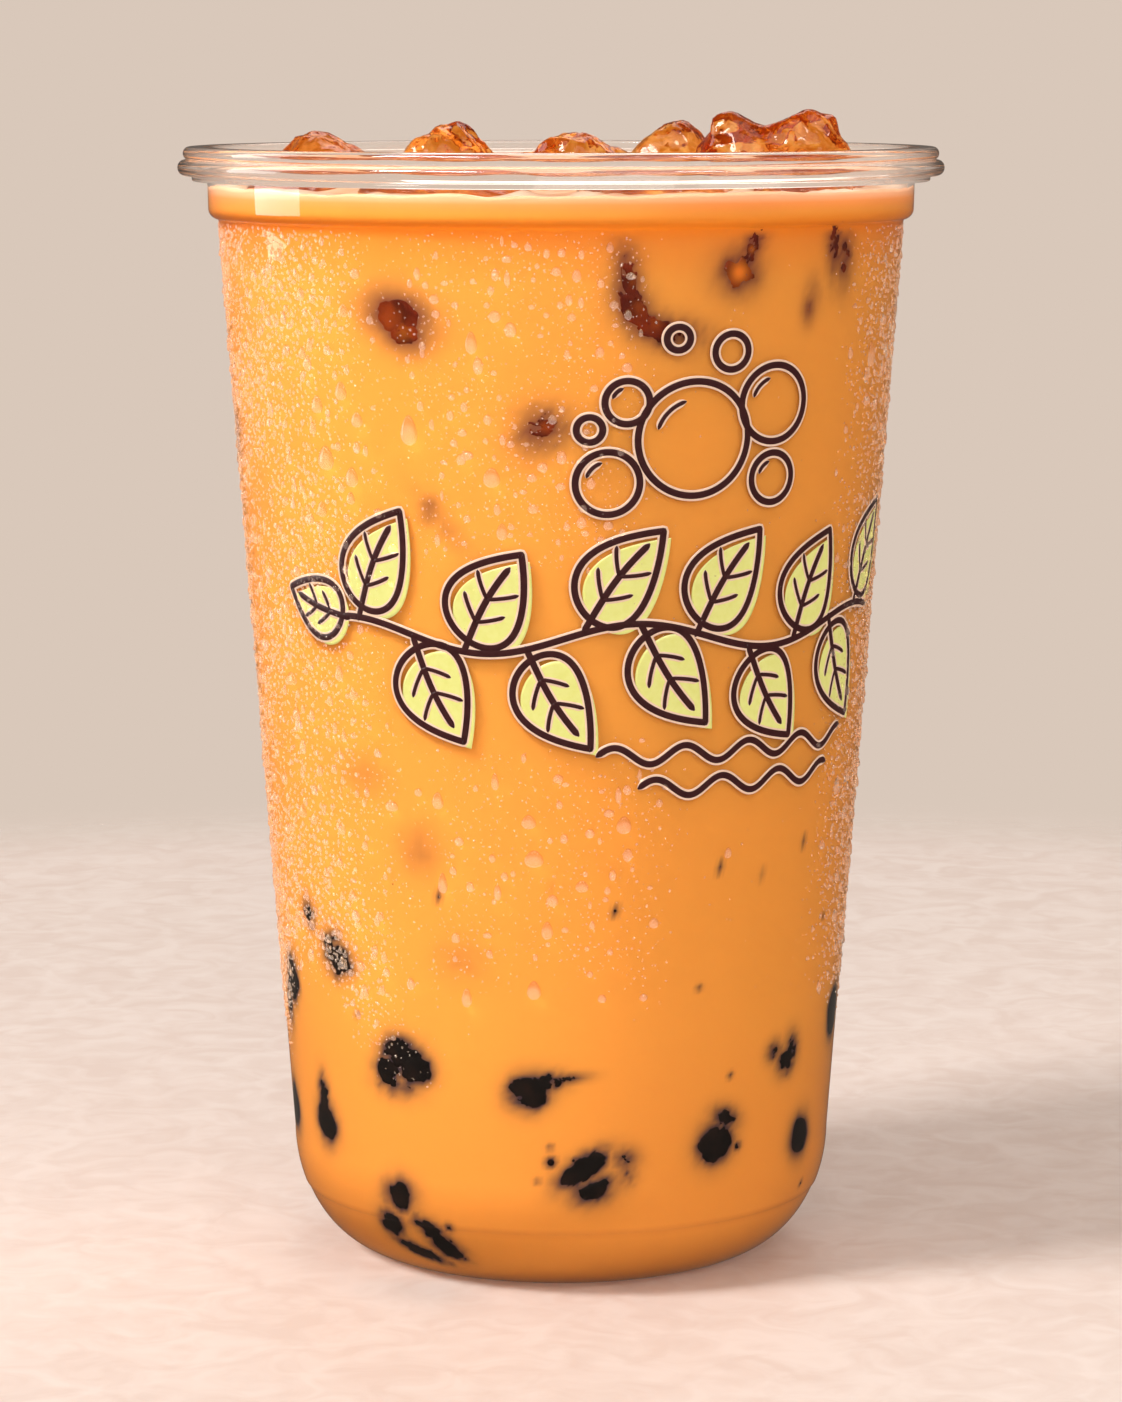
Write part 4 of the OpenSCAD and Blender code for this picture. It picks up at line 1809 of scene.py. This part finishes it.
@dataclass(frozen=True)
class VinePrint:
    """The print on the wall: a vine of tea leaves, bubbles over it and two waves under it.

    The leaves are lime fields under maroon lines, and a wider pale line lies under each line.
    """

    middle_z: float = 77.5
    stem: tuple[float, float] = (-27.0, 47.5)
    stem_wave: float = 1.7
    stem_length: float = 34.0
    leaves: int = 11
    leaf_way: float = 57.0
    line_w: float = 0.82
    vein_w: float = 0.5
    under_w: float = 0.42
    film: float = 0.06
    shift: tuple[float, float] = (0.9, -0.8)
    # Each bubble: across, up from the print's middle, and radius.
    bubbles: tuple[tuple[float, float, float], ...] = (
        (14.6, 22.4, 6.4), (5.0, 17.6, 3.5), (7.0, 26.6, 2.4), (24.4, 26.0, 4.3), (18.6, 32.0, 2.0),
        (3.0, 23.6, 1.4), (24.6, 17.6, 2.8), (12.4, 33.6, 1.3),
    )
    # Each wave: its start and end across, and up from the print's middle.
    waves: tuple[tuple[float, float, float], ...] = ((4.0, 41.0, -13.4), (9.0, 38.0, -17.2))
    wave_rise: float = 1.0
    wave_length: float = 8.6
    seed: int = 91

    def stem_at(self, across: np.ndarray | float) -> np.ndarray:
        """Height of the stem over the print's middle: a sine of the distance across."""
        return self.stem_wave * np.sin(2 * np.pi * np.asarray(across) / self.stem_length)

    def grown(self) -> list[Leaf]:
        """The leaves, set by turns over and under the stem, and one at its left end.

        Returns:
            The leaves.
        """
        rng = np.random.default_rng(self.seed)
        leaves = [Leaf((self.stem[0], float(self.stem_at(self.stem[0]))), 164.0, 9.4, 3.4, 0.04)]
        for i in range(self.leaves):
            across = self.stem[0] + 3.2 + 6.7 * i + rng.uniform(-0.5, 0.5)
            side = 1 if i % 2 == 0 else -1
            way = side * (self.leaf_way + rng.uniform(-7, 7))
            foot = (across, float(self.stem_at(across)) + 1.3 * side)
            leaves.append(Leaf(foot, way, rng.uniform(11.4, 12.8), rng.uniform(4.0, 4.6), 0.05 * side))
        return leaves

    def lift_off(self, wall: Outline, places: np.ndarray, lift: np.ndarray) -> np.ndarray:
        """Wraps places of the flat print round the wall.

        Args:
            wall: chart of the outside.
            places: flat places by 2.
            lift: heights over the wall.

        Returns:
            Points by 3.
        """
        middle = wall.along_at(self.middle_z)
        turn = np.degrees(places[..., 0] / wall.radius(middle))
        return wall.place(turn, middle + places[..., 1], lift)

    def line(self, wall: Outline, run: np.ndarray, width: float, film: float, shut: bool) -> Surface:
        """A flat band of ink carried along a run, narrowed to round ends where it stays open.

        Args:
            wall: chart of the outside.
            run: places of its middle line.
            width: its width.
            film: height of the ink.
            shut: whether the run shuts on itself.

        Returns:
            The band.
        """
        if shut:
            step = np.roll(run, -1, 0) - np.roll(run, 1, 0)
            half = np.ones(len(run))
        else:
            run = evened(run, 0.3)
            step = np.gradient(run, axis=0)
            gone = np.concatenate([[0], np.cumsum(np.linalg.norm(np.diff(run, axis=0), axis=1))])
            half = np.sqrt(np.clip(np.minimum(gone, gone[-1] - gone) / (0.7 * width), 0.04, 1))
        step = step / np.linalg.norm(step, axis=1, keepdims=True)
        aside = np.stack([-step[:, 1], step[:, 0]], -1)
        across = np.array(LINE_ACROSS) * width * half[:, None]
        lift = np.array(LINE_LIFT) * film + 0 * across
        grid = self.lift_off(wall, run[:, None] + across[..., None] * aside[:, None], lift)
        poles = (None, None) if shut else (grid[0].mean(0), grid[-1].mean(0))
        return grid_surface(grid, poles, ring=shut)

    def field(self, wall: Outline, run: np.ndarray, film: float) -> Surface:
        """A field of ink inside a shut run, closed underneath.

        Args:
            wall: chart of the outside.
            run: places of its edge.
            film: height of the ink.

        Returns:
            The field.
        """
        share = np.array(FIELD_ACROSS)[:, None]
        lift = np.array(FIELD_LIFT)[:, None] * film + 0 * run[None, :, 0]
        middle = run.mean(0)
        grid = self.lift_off(wall, middle + share[..., None] * (run[None] - middle), lift)
        poles = tuple(self.lift_off(wall, middle, np.array(lift[i, 0])) for i in (0, -1))
        return grid_surface(grid, poles)

    def drawn(self) -> list[tuple[np.ndarray, float, bool]]:
        """Every line of the print: its run, its width and whether it is shut.

        Returns:
            The lines.
        """
        t = np.linspace(*self.stem, 150)
        lines = [(np.stack([t, self.stem_at(t)], -1), self.line_w, False)]
        for leaf in self.grown():
            lines.append((leaf.outline(), self.line_w, True))
            widths = [self.line_w] + 4 * [self.vein_w]
            lines += [(run, width, False) for run, width in zip(leaf.veins(), widths)]
        for across, up, radius in self.bubbles:
            ring = arc((across, up), (radius, radius), (0, 360), 97)[:-1]
            lines.append((ring, self.line_w, True))
            if radius > 2:
                glint = arc((across, up), (0.68 * radius, 0.68 * radius), (105, 165), 20)
                lines.append((glint, self.vein_w, False))
        for start, end, up in self.waves:
            t = np.linspace(start, end, 160)
            rise = up + self.wave_rise * np.sin(2 * np.pi * (t - start) / self.wave_length)
            lines.append((np.stack([t, rise], -1), self.line_w, False))
        return lines

    def build(self, wall: Outline) -> list[bpy.types.Object]:
        """Makes the lime fields, the white underlay and the maroon lines.

        Args:
            wall: chart of the outside of the cup.

        Returns:
            The three prints.
        """
        lime = PrintInk("print_ink_lime", "#EDF598", "#E9F18C").material()
        white = PrintInk("print_ink_white_underlay", "#F6DCC8", "#F1D3BC").material()
        maroon = PrintInk("print_ink_maroon", "#3A1216", "#431A1C").material()
        lime_film, white_film = 0.6 * self.film, 0.8 * self.film
        fields = [self.field(wall, leaf.outline() + self.shift, lime_film) for leaf in self.grown()]
        drawn = self.drawn()
        under = [self.line(wall, run, w + self.under_w, white_film, shut) for run, w, shut in drawn]
        lines = [self.line(wall, run, w, self.film, shut) for run, w, shut in drawn]
        return [
            make_piece("print_lime_fields", joined(fields), lime),
            make_piece("print_white_underlay", joined(under), white),
            make_piece("print_maroon_lines", joined(lines), maroon),
        ]


# ---------------------------------------------------------------- floor, light and camera


class Lights(Enum):
    """What a lamp lights: everything, bodies without a glint of it, or glints alone."""

    ALL = "all"
    BODIES = "bodies"
    GLINTS = "glints"


@dataclass(frozen=True)
class Lamp:
    """A soft box: its name, its place and size in metres, its power in watts and its colour."""

    name: str
    spot: tuple[float, float, float]
    size: tuple[float, float]
    power: float
    lights: Lights = Lights.ALL
    shade: str = "#FFF6EE"

    def hang(self, aim: tuple[float, float, float]) -> None:
        """Hangs the lamp so that it looks at a point.

        Args:
            aim: what it looks at.
        """
        light = bpy.data.lights.new(self.name, "AREA")
        light.shape = "RECTANGLE"
        light.size, light.size_y = self.size
        light.energy = self.power
        light.color = linear(self.shade)[:3]
        lamp = bpy.data.objects.new(self.name, light)
        lamp.location = self.spot
        way = np.array(aim) - np.array(self.spot)
        tip = math.atan2(math.hypot(way[0], way[1]), -way[2])
        lamp.rotation_euler = (tip, 0.0, math.atan2(way[1], way[0]) - math.pi / 2)
        lamp.visible_camera = False
        lamp.visible_glossy = self.lights is not Lights.BODIES
        lamp.visible_diffuse = self.lights is not Lights.GLINTS
        lamp.visible_transmission = self.lights is not Lights.GLINTS
        bpy.context.scene.collection.objects.link(lamp)


@dataclass(frozen=True)
class PaleStone:
    """Honed pale stone: matt, two close warm greys in a fine swirled grain."""

    dark: str = "#E7DBD6"
    pale: str = "#F0E8E5"
    grain_mm: float = 1000 / 130
    roughness: float = 0.55

    def material(self, fade_from: float, fade_to: float) -> bpy.types.Material:
        """Builds the finish, which turns clear far from the cup so that the floor has no edge.

        Args:
            fade_from: distance from the origin where it begins to clear, in metres.
            fade_to: distance where it is gone.

        Returns:
            The material.
        """
        material, tree, output = new_material("floor_pale_stone")
        grain = mottled(tree, self.grain_mm, [(0.35, self.dark), (0.65, self.pale)], 8.0, 1.2)
        matt = add_node(tree, "BsdfPrincipled", {"Base Color": grain, "Roughness": self.roughness})
        place = add_node(tree, "TexCoord", {})
        away = add_node(tree, "VectorMath", {0: place.outputs["Object"]}, operation="LENGTH")
        fade = add_node(
            tree, "MapRange",
            {0: away.outputs["Value"], 1: fade_from, 2: fade_to, 3: 0.0, 4: 1.0},
            interpolation_type="SMOOTHSTEP",
        )
        clear = add_node(tree, "BsdfTransparent", {})
        mix = add_node(tree, "MixShader", {0: fade.outputs[0], 1: matt.outputs[0], 2: clear.outputs[0]})
        tree.links.new(mix.outputs[0], output.inputs["Surface"])
        return material


@dataclass(frozen=True)
class Studio:
    """A pale floor that fades out behind, large soft lamps and the camera. Sizes in metres."""

    camera_y: float = -0.5428
    camera_z: float = 0.1410
    camera_tip: float = 7.915
    lens: float = 117.7
    floor_r: float = 1.6
    fade_from: float = 0.27
    fade_to: float = 0.34
    backdrop: str = "#D9C8BA"
    ambient: float = 0.62
    mirrored: float = 0.16
    aim: tuple[float, float, float] = (0.0, 0.0, 0.07)
    lamps: tuple[Lamp, ...] = (
        Lamp("key", (-0.66, -0.35, 0.95), (0.25, 0.25), 9.2),
        Lamp("fill", (0.3, -1.2, 0.5), (1.0, 0.8), 5.0, Lights.BODIES),
        Lamp("right", (1.0, -0.6, 0.35), (0.6, 0.6), 1.7, Lights.BODIES, "#FFF3E8"),
        Lamp("back", (0.2, 0.8, 0.9), (0.8, 0.5), 2.6),
        Lamp("strip", (-0.5, 0.1, 0.26), (0.24, 0.45), 1.5, Lights.GLINTS, "#FFFFFF"),
        Lamp("spark", (-0.5, -0.6, 1.0), (0.28, 0.22), 6.5, Lights.GLINTS, "#FFFFFF"),
        Lamp("spark_right", (0.6, -0.5, 0.9), (0.25, 0.2), 3.0, Lights.GLINTS, "#FFFFFF"),
        Lamp("overhead", (0.0, -0.6, 0.95), (1.4, 0.9), 9.5, Lights.GLINTS, "#FFFFFF"),
    )

    def floor(self) -> None:
        """Lays the floor, one flat sheet, and keeps it out of reflections on the cup."""
        mesh = bpy.data.meshes.new("floor")
        r = self.floor_r
        mesh.from_pydata([(-r, -r, 0), (r, -r, 0), (r, r, 0), (-r, r, 0)], [], [(0, 1, 2, 3)])
        mesh.materials.append(PaleStone().material(self.fade_from, self.fade_to))
        sheet = bpy.data.objects.new("floor", mesh)
        bpy.context.scene.collection.objects.link(sheet)
        sheet.visible_glossy = False

    def world(self) -> None:
        """Fills the room with soft light of the backdrop's colour.

        Matt surfaces get its ambient share and reflections its mirrored share. The camera and
        rays that go through clear bodies see it whole.
        """
        world = bpy.data.worlds.new("studio")
        world.use_nodes = True
        tree = world.node_tree
        tree.nodes.clear()
        output = tree.nodes.new("ShaderNodeOutputWorld")
        path = add_node(tree, "LightPath", {})
        room = linear(self.backdrop)
        seen = add_node(tree, "Background", {"Color": room, "Strength": 1.0})
        mixed = seen
        # A ray bent in a clear body counts as glossy too, so the last of these decides for it.
        shares = (
            ("Is Diffuse Ray", self.ambient), ("Is Glossy Ray", self.mirrored), ("Is Transmission Ray", 1.0)
        )
        for ray, strength in shares:
            part = add_node(tree, "Background", {"Color": room, "Strength": strength})
            mixed = add_node(
                tree, "MixShader", {0: path.outputs[ray], 1: mixed.outputs[0], 2: part.outputs[0]}
            )
        tree.links.new(mixed.outputs[0], output.inputs["Surface"])
        bpy.context.scene.world = world

    def camera(self) -> None:
        """Sets the camera in front, a little over the rim and tipped down."""
        data = bpy.data.cameras.new("camera")
        data.lens = self.lens
        data.sensor_width = 36
        data.clip_start = 10 * MM
        camera = bpy.data.objects.new("camera", data)
        camera.location = (0, self.camera_y, self.camera_z)
        camera.rotation_euler = (math.radians(90 - self.camera_tip), 0, 0)
        bpy.context.scene.collection.objects.link(camera)
        bpy.context.scene.camera = camera

    def build(self) -> None:
        """Sets up floor, lamps, room and camera."""
        self.floor()
        self.world()
        for lamp in self.lamps:
            lamp.hang(self.aim)
        self.camera()
        scene = bpy.context.scene
        scene.view_settings.view_transform = "Standard"
        scene.cycles.max_bounces = 24
        scene.cycles.glossy_bounces = 12
        scene.cycles.transmission_bounces = 24
        scene.cycles.transparent_max_bounces = 32


def main() -> None:
    """Builds every piece round the frame, in order, and reports each."""
    logging.basicConfig(level=logging.INFO, format="%(name)s: %(message)s")
    low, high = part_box("cup")
    shape = CupShape(rim_r=(high.x - low.x) / 2 / MM, height=high.z / MM)
    drink, pearls, ices = Drink(shape), TapiocaPearls(), SunkIce()
    lumps = [IceLump(number, shape.level) for number in range(1, 12)]
    MouldedCup(shape).build()
    wall = drink.wall()
    drink.build(pearls.placed(), ices.placed(), lumps)
    pearls.build(wall)
    ices.build(wall)
    ice = TeaStainedIce().material()
    for lump in lumps:
        lump.build(ice)
    outside = shape.outside()
    Dew().build(outside, shape.step_z)
    VinePrint().build(outside)
    Studio().build()


if __name__ == "__main__":
    main()
